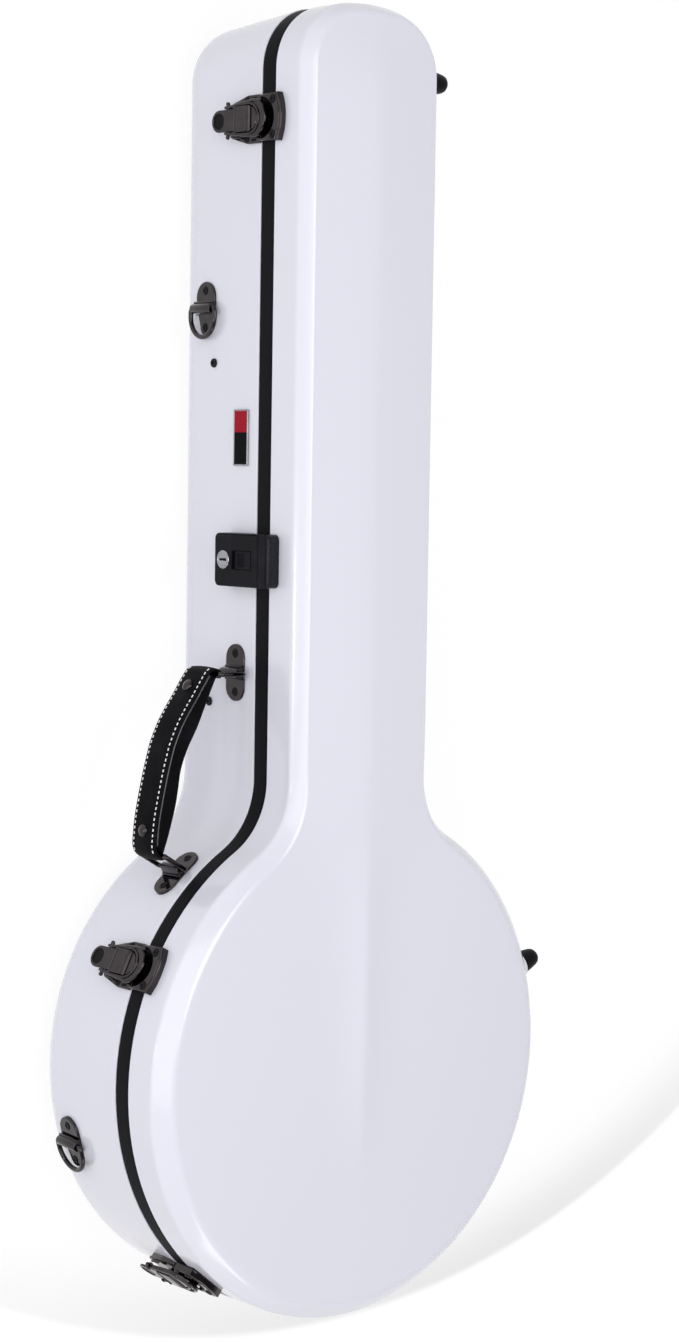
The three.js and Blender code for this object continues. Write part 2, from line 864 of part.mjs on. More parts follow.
function latchPlate() {
  const l = latch;
  const half = l.plate_width / 2;
  const foot_half = l.plate_foot_width / 2;
  const plate = prism(
    [v2(-half, l.plate_top), v2(-half, l.plate_knee), v2(-foot_half, l.plate_bottom + l.plate_corner),
      v2(-foot_half + l.plate_corner, l.plate_bottom), v2(foot_half - l.plate_corner, l.plate_bottom),
      v2(foot_half, l.plate_bottom + l.plate_corner), v2(half, l.plate_knee), v2(half, l.plate_top)].reverse(),
    'x',
    -overrun,
    l.plate_face,
  );
  const ear = (from, to) => joined([
    rod('y', [l.fulcrum_x, (from + to) / 2, l.fulcrum_z], l.ear_radius, to - from),
    boxBetween([0, from, l.fulcrum_z - l.ear_radius], [l.fulcrum_x, to, l.fulcrum_z + l.ear_stem_rise]),
  ]);
  const pin = rod('y', [l.fulcrum_x, 0, l.fulcrum_z], l.fulcrum_radius, l.ear_outer * 2 - l.running * 2);
  return joined([plate, latchCap(), ear(-l.ear_outer, -l.ear_inner), ear(l.ear_inner, l.ear_outer), pin]);
}

// The plate's round cap, which carries on the lever's pad inside the hasp.
function latchCap() {
  const l = latch;
  const bottom = l.fulcrum_z + l.nose_radius + l.running;
  const disc = rod('x', [(l.cap_back + l.cap_face) / 2, 0, l.cap_z], l.cap_radius, l.cap_face - l.cap_back);
  const below = boxBetween(
    [0, -l.cap_radius - overrun, l.cap_z - l.cap_radius - overrun],
    [l.cap_face + overrun, l.cap_radius + overrun, bottom],
  );
  const root = boxBetween([0, -l.cap_root_half, bottom], [l.cap_face, l.cap_root_half, l.plate_top]);
  return disc.subtract(below).add(root);
}

function latchLever() {
  const l = latch;
  const nose = l.fulcrum_radius * 2;
  const cheek = nose * nose_share;
  const lever_outer_x = l.fulcrum_x + l.nose_radius;
  const arm = prism(
    [v2(l.fulcrum_x, l.fulcrum_z + nose), v2(l.fulcrum_x + cheek, l.fulcrum_z + cheek),
      v2(lever_outer_x, l.fulcrum_z), v2(lever_outer_x, l.pad_bottom),
      v2(l.tongue_outer_x, l.tongue_top), v2(l.tongue_outer_x, l.pin_z - l.eye_radius),
      v2(l.tongue_inner_x, l.pin_z - l.eye_radius), v2(l.lever_inner_x, l.pin_z + l.eye_radius),
      v2(l.lever_inner_x, l.fulcrum_z - nose), v2(l.fulcrum_x - cheek, l.fulcrum_z + cheek)],
    'y',
    -l.lever_half_width,
    l.lever_half_width,
  );
  const curl = new THREE.Shape();
  const curl_inner = l.nose_radius - l.pad_thickness;
  curl.moveTo(lever_outer_x - l.pad_thickness, l.pad_bottom);
  curl.lineTo(lever_outer_x, l.pad_bottom);
  curl.absarc(l.fulcrum_x, l.fulcrum_z, l.nose_radius, 0, body_turn * curl_share);
  curl.absarc(l.fulcrum_x, l.fulcrum_z, curl_inner, body_turn * curl_share, 0, true);
  const pad = prism(curl, 'y', -l.pad_half_width, l.pad_half_width);
  const tongue_shape = new THREE.Shape();
  const centre_z = l.tongue_tip + l.tongue_half_width;
  tongue_shape.moveTo(l.tongue_half_width, l.tongue_top);
  tongue_shape.lineTo(-l.tongue_half_width, l.tongue_top);
  tongue_shape.lineTo(-l.tongue_half_width, centre_z);
  tongue_shape.absarc(0, centre_z, l.tongue_half_width, Math.PI, 2 * Math.PI);
  const tongue = prism(tongue_shape, 'x', l.tongue_inner_x, l.tongue_outer_x);
  const pin = rod('y', [l.pin_x, 0, l.pin_z], l.pin_radius, l.pin_half_length * 2, small_sides);
  const balls = [-1, 1].map((sign) => ball([l.pin_x, sign * l.pin_half_length, l.pin_z], l.ball_radius));
  const bore = rod('y', [l.fulcrum_x, 0, l.fulcrum_z], l.fulcrum_radius + l.running, l.plate_width);
  return joined([arm, pad, tongue, pin, ...balls]).subtract(bore);
}

function latchHasp() {
  const l = latch;
  const outer_shape = new THREE.Shape();
  outer_shape.moveTo(-l.hasp_pin_outer, l.pin_z);
  outer_shape.lineTo(l.hasp_pin_outer, l.pin_z);
  outer_shape.lineTo(l.hasp_outer, l.hasp_bend_z);
  outer_shape.absarc(0, l.hasp_bend_z, l.hasp_outer, 0, Math.PI);
  const inner_shape = new THREE.Shape();
  inner_shape.moveTo(-l.hasp_pin_inner, l.pin_z - overrun);
  inner_shape.lineTo(l.hasp_pin_inner, l.pin_z - overrun);
  inner_shape.lineTo(l.hasp_pin_inner, l.hasp_neck_low);
  inner_shape.lineTo(l.hasp_inner, l.hasp_neck_high);
  inner_shape.lineTo(l.hasp_inner, l.cap_z);
  inner_shape.absarc(0, l.cap_z, l.hasp_inner, 0, Math.PI);
  inner_shape.lineTo(-l.hasp_inner, l.hasp_neck_high);
  inner_shape.lineTo(-l.hasp_pin_inner, l.hasp_neck_low);
  const outer = prism(outer_shape, 'x', l.hasp_inner_x, l.hasp_outer_x);
  const inner = prism(inner_shape, 'x', l.hasp_inner_x - overrun, l.hasp_outer_x + overrun);
  const thickness = l.hasp_pin_outer - l.hasp_pin_inner;
  const middle = (l.hasp_pin_outer + l.hasp_pin_inner) / 2;
  const eyes = [-1, 1].map((sign) => rod('y', [l.pin_x, sign * middle, l.pin_z], l.eye_radius, thickness));
  const bore = rod('y', [l.pin_x, 0, l.pin_z], l.pin_radius + l.running, l.plate_width, small_sides);
  return joined([outer.subtract(inner), ...eyes]).subtract(bore);
}

function latchKeeper() {
  const l = latch;
  const shape = new THREE.Shape();
  shape.moveTo(-l.keeper_foot_half_width, l.keeper_bottom);
  shape.lineTo(l.keeper_foot_half_width, l.keeper_bottom);
  shape.lineTo(l.keeper_half_width, l.keeper_shoulder);
  shape.quadraticCurveTo(0, 2 * l.keeper_top - l.keeper_shoulder, -l.keeper_half_width, l.keeper_shoulder);
  const plate = prism(shape, 'x', -overrun, l.keeper_face);
  const recess = rod('x', [l.recess_floor + overrun, 0, l.recess_z], l.recess_radius, overrun * 2);
  const lip = boxBetween(
    [0, -l.lip_half_width, l.lip_bottom],
    [l.hasp_inner_x - seat, l.lip_half_width, l.lip_top],
  );
  return joined([plate.subtract(recess), lip]);
}

latch.places.forEach((place) => {
  const wall = place.angle_deg === undefined
    ? neckWall(place.y, -1)
    : bodyWall(THREE.MathUtils.degToRad(place.angle_deg));
  const group = wallGroup(wall);
  const plate_heads = latch_screw_shares.map(([across, down]) => screwHead(
    latch.plate_face,
    (across * latch.plate_width) / 2,
    latch.plate_bottom * down,
  ));
  const keeper_heads = latch_screw_shares.map(([across]) => screwHead(
    latch.keeper_face,
    across * latch.keeper_foot_half_width,
    latch.keeper_shoulder - screw.radius * 2,
  ));
  const plate = joined([seated(latchPlate(), group), ...plate_heads]);
  const keeper = joined([seated(latchKeeper(), group), ...keeper_heads]);
  addPart(group, `latch_${place.name}_plate`, plate, gunmetal);
  addPart(group, `latch_${place.name}_lever`, latchLever(), gunmetal);
  addPart(group, `latch_${place.name}_hasp`, latchHasp(), gunmetal);
  addPart(group, `latch_${place.name}_keeper`, keeper, gunmetal);
});

// Strap hooks: a clip that holds the bar of a D-shaped ring

function hookClip() {
  const h = hook;
  const half = h.plate_width / 2;
  const foot_half = h.foot_width / 2;
  const shape = new THREE.Shape();
  shape.moveTo(h.foot + foot_half, -foot_half);
  shape.lineTo(-h.knuckle_radius, -h.knuckle_half_length);
  shape.lineTo(h.knuckle_radius, -half);
  shape.lineTo(h.top - half, -half);
  shape.absarc(h.top - half, 0, half, -body_turn, body_turn);
  shape.lineTo(h.knuckle_radius, half);
  shape.lineTo(-h.knuckle_radius, h.knuckle_half_length);
  shape.lineTo(h.foot + foot_half, foot_half);
  shape.absarc(h.foot + foot_half, 0, foot_half, body_turn, 3 * body_turn);
  const plate = prism(shape, 'x', -overrun, h.plate_thickness);
  const knuckle = joined([
    rod('z', [h.bar_x, 0, 0], h.knuckle_radius, h.knuckle_half_length * 2),
    boxBetween(
      [0, -h.knuckle_radius, -h.knuckle_half_length],
      [h.bar_x, h.knuckle_radius, h.knuckle_half_length],
    ),
  ]);
  const bore = rod('z', [h.bar_x, 0, 0], h.bore_radius, h.plate_width);
  return joined([plate, knuckle]).subtract(bore);
}

function dRing() {
  const h = hook;
  const w = h.ring_half_width;
  const bend = h.wire_radius * bend_share;
  const corner = (y, z, radius, steps) => ({ at: new THREE.Vector3(h.bar_x, y, z), radius, steps });
  const points = roundedLoop([
    corner(0, -w, bend, bend_steps),
    corner(0, w, bend, bend_steps),
    corner(-h.ring_drop, w, w, bow_steps),
    corner(-h.ring_drop, -w, w, bow_steps),
  ]);
  const apart = points.filter((p, i) => i === 0 || p.distanceTo(points[i - 1]) > seat);
  return wireLoop(apart, axis_x, h.wire_radius);
}

const d_ring_angle = THREE.MathUtils.degToRad(d_ring_angle_deg);
const hook_places = [
  { name: 'left_upper', wall: neckWall(d_ring_y, -1), flip: true },
  { name: 'left_lower', wall: bodyWall(d_ring_angle), flip: true },
  { name: 'right_upper', wall: neckWall(d_ring_y, 1), flip: false },
  { name: 'right_lower', wall: bodyWall(Math.PI - d_ring_angle), flip: false },
];

// The group of a strap hook leans with the drafted wall, with its +Y towards the neck's end.
function hookGroup(wall, flip) {
  const outer = wallGroup(wall);
  const inner = new THREE.Group();
  inner.position.set(Math.tan(draft) * d_ring_height, 0, d_ring_height);
  inner.rotation.set(flip ? Math.PI : 0, draft, 0, 'YXZ');
  outer.add(inner);
  outer.updateMatrixWorld(true);
  return inner;
}

hook_places.forEach(({ name, wall, flip }) => {
  const group = hookGroup(wall, flip);
  const heads = hook.screw_places.map((y) => screwHead(hook.plate_thickness, y, 0));
  addPart(group, `hook_${name}_clip`, joined([seated(hookClip(), group), ...heads]), gunmetal);
  addPart(group, `hook_${name}_ring`, dRing(), gunmetal);
});

// Handle: brackets, bails and padded grip

function handleBracket() {
  const b = bracket;
  const half = b.width / 2;
  const shape = new THREE.Shape();
  shape.moveTo(-b.half_length + half, -half);
  shape.lineTo(b.half_length - half, -half);
  shape.absarc(b.half_length - half, 0, half, -body_turn, body_turn);
  shape.lineTo(-b.half_length + half, half);
  shape.absarc(-b.half_length + half, 0, half, body_turn, 3 * body_turn);
  const plate = prism(shape, 'x', -overrun, b.thickness);
  const knuckle = joined([
    rod('z', [b.rod_x, 0, 0], b.knuckle_radius, b.knuckle_half_length * 2),
    boxBetween(
      [-overrun, -b.knuckle_radius, -b.knuckle_half_length],
      [b.rod_x, b.knuckle_radius, b.knuckle_half_length],
    ),
  ]);
  const bore = rod('z', [b.rod_x, 0, 0], b.bore_radius, b.width + overrun);
  return joined([plate, knuckle]).subtract(bore);
}

// The bail is a ring of wire whose inner bar is the rod and whose outer bar holds the grip.
function handleBail() {
  const radius = bail.wire_radius * bend_share;
  const w = bail.half_width;
  const corner = (x, z) => ({ at: new THREE.Vector3(x, 0, z), radius, steps: bend_steps });
  const points = roundedLoop([corner(0, -w), corner(0, w), corner(bail.reach, w), corner(bail.reach, -w)]);
  return wireLoop(points, axis_y, bail.wire_radius);
}

const handle_ends = [
  { name: 'upper', wall: neckWall(upper_bracket_y, -1), bail_angle: upper_bail_angle_deg },
  {
    name: 'lower',
    wall: bodyWall(THREE.MathUtils.degToRad(lower_bracket_angle_deg)),
    bail_angle: lower_bail_angle_deg,
  },
];

function railPoint(wall) {
  const inset = Math.tan(draft) * grip.height;
  const reach = bracket.rod_x + inset;
  return v2(wall.x + Math.cos(wall.outward) * reach, wall.y + Math.sin(wall.outward) * reach);
}

handle_ends.forEach((end) => {
  const bracket_group = wallGroup(end.wall);
  const stand = new THREE.Group();
  stand.position.set(Math.tan(draft) * grip.height, 0, grip.height);
  bracket_group.add(stand);
  bracket_group.updateMatrixWorld(true);
  const screw_y = bracket.half_length - bracket.width / 2 + bracket.thickness * 2;
  const heads = [-screw_y, screw_y].map((y) => screwHead(bracket.thickness, y, 0));
  const plate = joined([seated(handleBracket(), stand), ...heads]);
  addPart(stand, `handle_${end.name}_bracket`, plate, gunmetal);
  end.rail = railPoint(end.wall);
  const angle = THREE.MathUtils.degToRad(end.bail_angle);
  end.bar = v2(end.rail.x + bail.reach * Math.cos(angle), end.rail.y + bail.reach * Math.sin(angle));
  const bail_group = new THREE.Group();
  bail_group.position.set(end.rail.x, end.rail.y, base_depth + grip.height);
  bail_group.rotation.z = angle;
  banjo_case.add(bail_group);
  addPart(bail_group, `handle_${end.name}_bail`, handleBail(), gunmetal);
});

// The grip follows an arch between the outer bars of the bails.
function gripSides() {
  const [top, low] = handle_ends.map((end) => end.bar);
  const chord = low.clone().sub(top);
  const away = v2(chord.y, -chord.x).normalize();
  const line = grip_shares.map(({ along, rise }) => top.clone()
    .addScaledVector(chord, along)
    .addScaledVector(away, rise * grip.arch));
  const outer = [];
  const inner = [];
  line.forEach((point, i) => {
    const before = line[Math.max(i - 1, 0)];
    const after = line[Math.min(i + 1, line.length - 1)];
    const ahead = after.clone().sub(before).normalize();
    const normal = v2(ahead.y, -ahead.x);
    const half = grip_shares[i].half * grip.half_thickness;
    outer.push(point.clone().addScaledVector(normal, half));
    inner.push(point.clone().addScaledVector(normal, -half));
  });
  return { line, outer, inner };
}

function makeGrip() {
  const { line, outer, inner } = gripSides();
  const low_z = base_depth + grip.height - grip.width / 2;
  const high_z = low_z + grip.width;
  const endCap = (centre, from) => {
    const start = Math.atan2(from.y - centre.y, from.x - centre.x);
    const radius = centre.distanceTo(from);
    return grip_end_shares.map((share) => {
      const angle = start + share * Math.PI;
      return v2(centre.x + radius * Math.cos(angle), centre.y + radius * Math.sin(angle));
    });
  };
  const last = line.length - 1;
  const outline = [
    ...outer,
    ...endCap(line[last], outer[last]),
    ...[...inner].reverse(),
    ...endCap(line[0], inner[0]),
  ];
  const clockwise = THREE.ShapeUtils.isClockWise(outline);
  const solid = prism(clockwise ? outline.reverse() : outline, 'z', low_z, high_z);
  const eyes = [grip.upper_eye_radius, grip.lower_eye_radius].map((radius, i) => {
    const bar = handle_ends[i].bar;
    return rod('z', [bar.x, bar.y, (low_z + high_z) / 2], radius, grip.width + overrun * 2);
  });
  return eyes.reduce((whole, eye) => whole.subtract(eye), solid);
}

addPart(banjo_case, 'handle_grip', makeGrip(), leather);

// Domed studs that close the grip's cover near its two ends
stud.places.forEach(({ name, step }) => {
  const { outer, line } = gripSides();
  const ray = outer[step].clone().sub(line[step]);
  const group = new THREE.Group();
  group.position.set(outer[step].x, outer[step].y, base_depth + grip.height);
  group.rotation.z = Math.atan2(ray.y, ray.x);
  banjo_case.add(group);
  addPart(group, `handle_${name}_stud`, domeHead(seat, 0, 0, stud.radius, stud.height), gunmetal);
});

// Lock

function lockBlock(bottom, top) {
  return prism(
    roundedRectangle(-lock.half_length, bottom, lock.half_length, top, lock.corner),
    'x',
    -overrun,
    lock.face,
  );
}

function makeLockHousing() {
  const l = lock;
  const floor = l.face - l.slider_depth;
  const slot = boxBetween(
    [floor, -l.slider_half_width - seat, l.slider_bottom - l.slider_travel - seat],
    [l.face + overrun, l.slider_half_width + seat, l.slider_top + seat],
  );
  const bore = rod('x', [floor + overrun, 0, l.cylinder_z], l.cylinder_radius + seat, overrun * 2);
  return lockBlock(l.bottom, l.housing_top).subtract(slot).subtract(bore);
}

const lock_group = wallGroup(neckWall(lock.y, -1));
const lock_floor = lock.face - lock.slider_depth + seat;
const lock_keeper = lockBlock(lock.keeper_bottom, lock.keeper_top);
addPart(lock_group, 'lock_housing', seated(makeLockHousing(), lock_group), black_plastic);
addPart(lock_group, 'lock_keeper', seated(lock_keeper, lock_group), black_plastic);
addPart(lock_group, 'lock_slider', boxBetween(
  [lock_floor, -lock.slider_half_width, lock.slider_bottom],
  [lock.face + lock.slider_proud, lock.slider_half_width, lock.slider_top],
), black_plastic);

function makeKeyCylinder() {
  const l = lock;
  const length = l.face + l.cylinder_proud - lock_floor;
  const disc = rod('x', [lock_floor + length / 2, 0, l.cylinder_z], l.cylinder_radius, length);
  const slot = boxBetween(
    [lock_floor + length - l.key_slot_depth, -l.key_slot_width / 2, l.cylinder_z - l.key_slot_length / 2],
    [lock_floor + length + overrun, l.key_slot_width / 2, l.cylinder_z + l.key_slot_length / 2],
  );
  return disc.subtract(slot);
}
addPart(lock_group, 'lock_key_cylinder', makeKeyCylinder(), steel);

// Badge

function makeBadge() {
  const b = badge;
  const plate = prism(
    roundedRectangle(-b.half_length, -b.half_width, b.half_length, b.half_width, b.rim),
    'x',
    -overrun,
    b.face,
  );
  const tray = boxBetween(
    [b.face - b.sunk, -b.half_length + b.rim, -b.half_width + b.rim],
    [b.face + overrun, b.half_length - b.rim, b.half_width - b.rim],
  );
  return plate.subtract(tray);
}

const badge_wall = wallGroup(neckWall(badge.y, -1));
const badge_group = new THREE.Group();
badge_group.position.set(Math.tan(draft) * badge.height, 0, badge.height);
badge_group.rotation.y = draft;
badge_wall.add(badge_group);
badge_wall.updateMatrixWorld(true);
addPart(badge_group, 'badge_frame', seated(makeBadge(), badge_group), steel);
const enamel_half_length = badge.half_length - badge.rim - seat;
const enamel_half_width = badge.half_width - badge.rim - seat;
addPart(badge_group, 'badge_panel', boxBetween(
  [badge.face - badge.sunk + seat, -enamel_half_length, -enamel_half_width],
  [badge.face - seat, enamel_half_length, enamel_half_width],
), enamel);

// Hinges. In a hinge group the pin lies on the local Y axis.

function knuckle(from, to) {
  return rod('y', [0, (from + to) / 2, 0], hinge.knuckle_radius, to - from);
}

function leafPlate(low, high, from, to) {
  return boxBetween([hinge.leaf_back, from, low], [hinge.leaf_back + hinge.leaf_thickness, to, high]);
}

function makeBaseLeaf() {
  const h = hinge;
  const gap = h.knuckle_half_length + seat;
  const clear = h.knuckle_radius + seat;
  const bottom = -seal_height - h.base_leaf_length;
  const sides = [[-h.half_length, -gap], [gap, h.half_length]];
  const pieces = sides.flatMap(([from, to]) => [knuckle(from, to), leafPlate(-clear, 0, from, to)]);
  pieces.push(leafPlate(bottom, -clear, -h.half_length, h.half_length));
  return joined(pieces).subtract(rod('y', [0, 0, 0], h.bore_radius, h.half_length * 2 + overrun));
}

function makeLidLeaf() {
  const h = hinge;
  const half = h.knuckle_half_length;
  const clear = h.knuckle_radius + seat;
  const pieces = [
    knuckle(-half, half),
    leafPlate(0, clear, -half, half),
    leafPlate(clear, h.lid_leaf_length, -h.half_length, h.half_length),
  ];
  return joined(pieces).subtract(rod('y', [0, 0, 0], h.bore_radius, h.half_length * 2 + overrun));
}

function makeHingePin() {
  const h = hinge;
  const end = h.half_length + seat;
  const heads = [-1, 1].map((sign) => {
    const middle = sign * (end + h.pin_head_length / 2);
    return rod('y', [0, middle, 0], h.pin_head_radius, h.pin_head_length, small_sides);
  });
  return joined([rod('y', [0, 0, 0], h.pin_radius, end * 2 + h.pin_head_length, small_sides), ...heads]);
}

hinge_groups.forEach((group, i) => {
  const { name } = hinge_places[i];
  const face = hinge.leaf_back + hinge.leaf_thickness;
  const base_z = -seal_height - hinge.base_leaf_length / 2;
  const lid_z = (hinge.knuckle_radius + hinge.lid_leaf_length + screw.radius) / 2;
  const heads = (z) => hinge_screw_shares.map((share) => screwHead(face, share * hinge.half_length, z));
  addPart(group, `hinge_${name}_base_leaf`, joined([makeBaseLeaf(), ...heads(base_z)]), gunmetal);
  addPart(group, `hinge_${name}_lid_leaf`, joined([makeLidLeaf(), ...heads(lid_z)]), gunmetal);
  addPart(group, `hinge_${name}_pin`, makeHingePin(), steel);
});

// Feet on the hinge side

function makeFoot() {
  const f = foot;
  return turned([
    [0, 0], [f.radius, 0], [f.tip_radius, f.shoulder], [f.crown_radius, f.length], [0, f.length],
  ]);
}

foot_walls.forEach(({ name, wall }) => {
  [['lid', foot.lid_height], ['base', foot.base_height]].forEach(([owner, height]) => {
    const group = wallGroup(wall);
    const bumper = new THREE.Group();
    bumper.position.set(foot.boss_length + seat, 0, height);
    group.add(bumper);
    addPart(bumper, `foot_${owner}_${name}`, makeFoot(), black_plastic);
  });
});

// Screws of the inner fittings, seen on the handle's side
side_screw.places.forEach(({ name, y, z }) => {
  const group = wallGroup(neckWall(y, -1));
  const stand = new THREE.Group();
  stand.position.set(Math.tan(draft) * z + seat, 0, z);
  stand.rotation.y = draft;
  group.add(stand);
  const head = domeHead(0, 0, 0, side_screw.radius, side_screw.height);
  addPart(stand, `side_screw_${name}`, head, black_plastic);
});

export default banjo_case;
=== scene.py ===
"""Looks of a hard case for a resonator banjo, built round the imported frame.

Axes and places are the frame's own: +Y runs along the neck to its end, +X to the hinge side and
+Z up from the back face. Sizes are in millimetres and become metres where a mesh is made.
"""

from __future__ import annotations

import logging
import math
from dataclasses import dataclass, field
from enum import Enum
from typing import Callable, Mapping, Optional, Sequence, Union

import bmesh
import bpy
from mathutils import Matrix, Vector
from mathutils.geometry import tessellate_polygon

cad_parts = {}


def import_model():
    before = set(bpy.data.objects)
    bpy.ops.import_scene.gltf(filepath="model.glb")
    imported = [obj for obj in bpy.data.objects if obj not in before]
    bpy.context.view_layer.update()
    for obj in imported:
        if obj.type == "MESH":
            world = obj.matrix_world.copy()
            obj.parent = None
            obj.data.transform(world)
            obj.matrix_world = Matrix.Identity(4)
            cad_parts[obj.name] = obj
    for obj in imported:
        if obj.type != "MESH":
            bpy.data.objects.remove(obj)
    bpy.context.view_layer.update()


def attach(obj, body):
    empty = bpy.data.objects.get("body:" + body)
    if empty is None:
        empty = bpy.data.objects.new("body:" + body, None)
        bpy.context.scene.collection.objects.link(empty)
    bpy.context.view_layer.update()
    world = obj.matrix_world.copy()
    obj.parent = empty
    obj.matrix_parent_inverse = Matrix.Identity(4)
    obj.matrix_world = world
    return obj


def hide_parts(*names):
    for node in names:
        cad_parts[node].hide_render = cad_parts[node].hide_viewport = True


LOG = logging.getLogger("banjo_case")
MM = 0.001
QUARTER = math.pi / 2

Point = tuple[float, float]
Loop = list[Point]
Colour = tuple[float, float, float, float]
Corner = tuple[float, float, float]  # a place in the plane and the radius of its rounding
Spot = tuple[float, float, float]  # x, y and z


# Shader graph


class Socket:
    """One output of a node; arithmetic on it adds Math nodes to the same tree."""

    def __init__(self, shader: "Shader", output: bpy.types.NodeSocket) -> None:
        """Keeps the tree and the output that this value comes from."""
        self.shader = shader
        self.output = output

    def _math(self, operation: str, first: "Value", second: "Value") -> "Socket":
        """Adds one Math node over two values."""
        return self.shader.node("ShaderNodeMath", {"operation": operation}, {0: first, 1: second})

    def __add__(self, other: "Value") -> "Socket":
        """Sum."""
        return self._math("ADD", self, other)

    def __radd__(self, other: "Value") -> "Socket":
        """Sum with a number on the left."""
        return self._math("ADD", other, self)

    def __sub__(self, other: "Value") -> "Socket":
        """Difference."""
        return self._math("SUBTRACT", self, other)

    def __rsub__(self, other: "Value") -> "Socket":
        """Difference with a number on the left."""
        return self._math("SUBTRACT", other, self)

    def __mul__(self, other: "Value") -> "Socket":
        """Product."""
        return self._math("MULTIPLY", self, other)

    def __rmul__(self, other: "Value") -> "Socket":
        """Product with a number on the left."""
        return self._math("MULTIPLY", other, self)

    def abs(self) -> "Socket":
        """The value without its sign."""
        return self.shader.node("ShaderNodeMath", {"operation": "ABSOLUTE"}, {0: self})


Value = Union[Socket, float, Sequence[float]]


class Shader:
    """A material's node tree, with one method that adds every kind of node."""

    def __init__(self, tree: bpy.types.NodeTree) -> None:
        """Empties the tree that the finish is built in."""
        self.tree = tree
        tree.nodes.clear()

    def node(
        self,
        kind: str,
        settings: Optional[Mapping[str, object]] = None,
        inputs: Optional[Mapping[Union[str, int], Value]] = None,
        output: Union[str, int] = 0,
    ) -> Socket:
        """Adds a node.

        Args:
            kind: The node's type name.
            settings: Its own settings, set before its sockets; "stops" fills a colour ramp.
            inputs: Values or links for its sockets, by name or number.
            output: The output that is handed back.

        Returns:
            The chosen output, or None for a node that has none.
        """
        node = self.tree.nodes.new(kind)
        for key, value in (settings or {}).items():
            if key == "stops":
                self._set_stops(node.color_ramp, value)
            else:
                setattr(node, key, value)
        for key, value in (inputs or {}).items():
            if isinstance(value, Socket):
                self.tree.links.new(value.output, node.inputs[key])
            else:
                node.inputs[key].default_value = value
        return Socket(self, node.outputs[output]) if len(node.outputs) else None

    @staticmethod
    def _set_stops(ramp: bpy.types.ColorRamp, stops: Sequence[tuple[float, Colour]]) -> None:
        """Sets a ramp's stops.

        Args:
            ramp: The ramp.
            stops: Its stops as (place, colour) pairs.
        """
        while len(ramp.elements) < len(stops):
            ramp.elements.new(1.0)
        for element, (place, colour) in zip(ramp.elements, stops):
            element.position = place
            element.color = colour

    def place(self) -> Socket:
        """Place on the object, in metres."""
        return self.node("ShaderNodeTexCoord", output="Object")

    def part(self, vector: Socket, axis: str) -> Socket:
        """One of the X, Y and Z numbers of a vector."""
        return self.node("ShaderNodeSeparateXYZ", {}, {0: vector}, axis)

    def noise(self, scale: float, detail: float = 2.0, roughness: float = 0.5) -> Socket:
        """Soft noise from 0 to 1, with so many features in a metre."""
        return self.node(
            "ShaderNodeTexNoise",
            {},
            {"Vector": self.place(), "Scale": scale, "Detail": detail, "Roughness": roughness},
        )

    def cells(self, scale: float) -> Socket:
        """Distances in a pattern of cells, with so many cells in a metre."""
        inputs = {"Vector": self.place(), "Scale": scale}
        return self.node("ShaderNodeTexVoronoi", {"feature": "F1"}, inputs)

    def between(self, value: Socket, low: float, high: float) -> Socket:
        """Rises smoothly from 0 at low to 1 at high."""
        settings = {"interpolation_type": "SMOOTHSTEP"}
        return self.node("ShaderNodeMapRange", settings, {0: value, 1: low, 2: high})

    def mix(self, mask: Value, first: Value, second: Value) -> Socket:
        """Colour between two colours by a mask."""
        settings = {"data_type": "RGBA"}
        return self.node("ShaderNodeMix", settings, {0: mask, 6: first, 7: second}, 2)

    def bump(self, height: Socket, depth: float, strength: float = 1.0) -> Socket:
        """Surface normal of a height from 0 to 1 that stands depth metres tall."""
        inputs = {"Height": height, "Distance": depth, "Strength": strength}
        return self.node("ShaderNodeBump", {}, inputs)

    def surface(self, inputs: Mapping[str, Value]) -> None:
        """Ends the tree with a Principled surface."""
        shader = self.node("ShaderNodeBsdfPrincipled", {}, inputs)
        self.node("ShaderNodeOutputMaterial", {}, {"Surface": shader})


def grey(level: float) -> Colour:
    """An opaque grey."""
    return (level, level, level, 1.0)


def shaded(colour: Colour, factor: float) -> Colour:
    """The colour, lighter or darker by a factor."""
    return (colour[0] * factor, colour[1] * factor, colour[2] * factor, 1.0)


# Finishes


@dataclass(frozen=True)
class Finish:
    """A named finish and the record's slot that it belongs to."""

    name: str
    slot: str

    def paint(self, shader: Shader) -> None:
        """Builds the finish in an empty node tree."""
        raise NotImplementedError

    def material(self) -> bpy.types.Material:
        """The finish's material, made the first time that it is asked for.

        Returns:
            The material.
        """
        made = bpy.data.materials.get(self.name)
        if made is None:
            made = bpy.data.materials.new(self.name)
            made.use_nodes = True
            self.paint(Shader(made.node_tree))
        return made


@dataclass(frozen=True)
class GelCoat(Finish):
    """White gloss shell: thin clear coat, faint orange peel, hair-fine handling marks."""

    colour: Colour = (0.785, 0.785, 0.88, 1.0)
    gloss: float = 0.17

    def paint(self, shader: Shader) -> None:
        """Builds the finish.

        Args:
            shader: The empty tree that it is built in.
        """
        cloud = shader.noise(5.0, 3.0)
        peel = shader.noise(210.0, 2.0)
        rub = shader.between(shader.noise(900.0, 4.0, 0.7), 0.62, 0.8)
        shader.surface({
            "Base Color": shader.mix(cloud, shaded(self.colour, 0.985), self.colour),
            "Roughness": self.gloss + 0.05 * cloud + 0.06 * rub,
            "Coat Weight": 0.35,
            "Coat Roughness": 0.06,
            "Normal": shader.bump(peel, 0.00006, 0.35),
        })


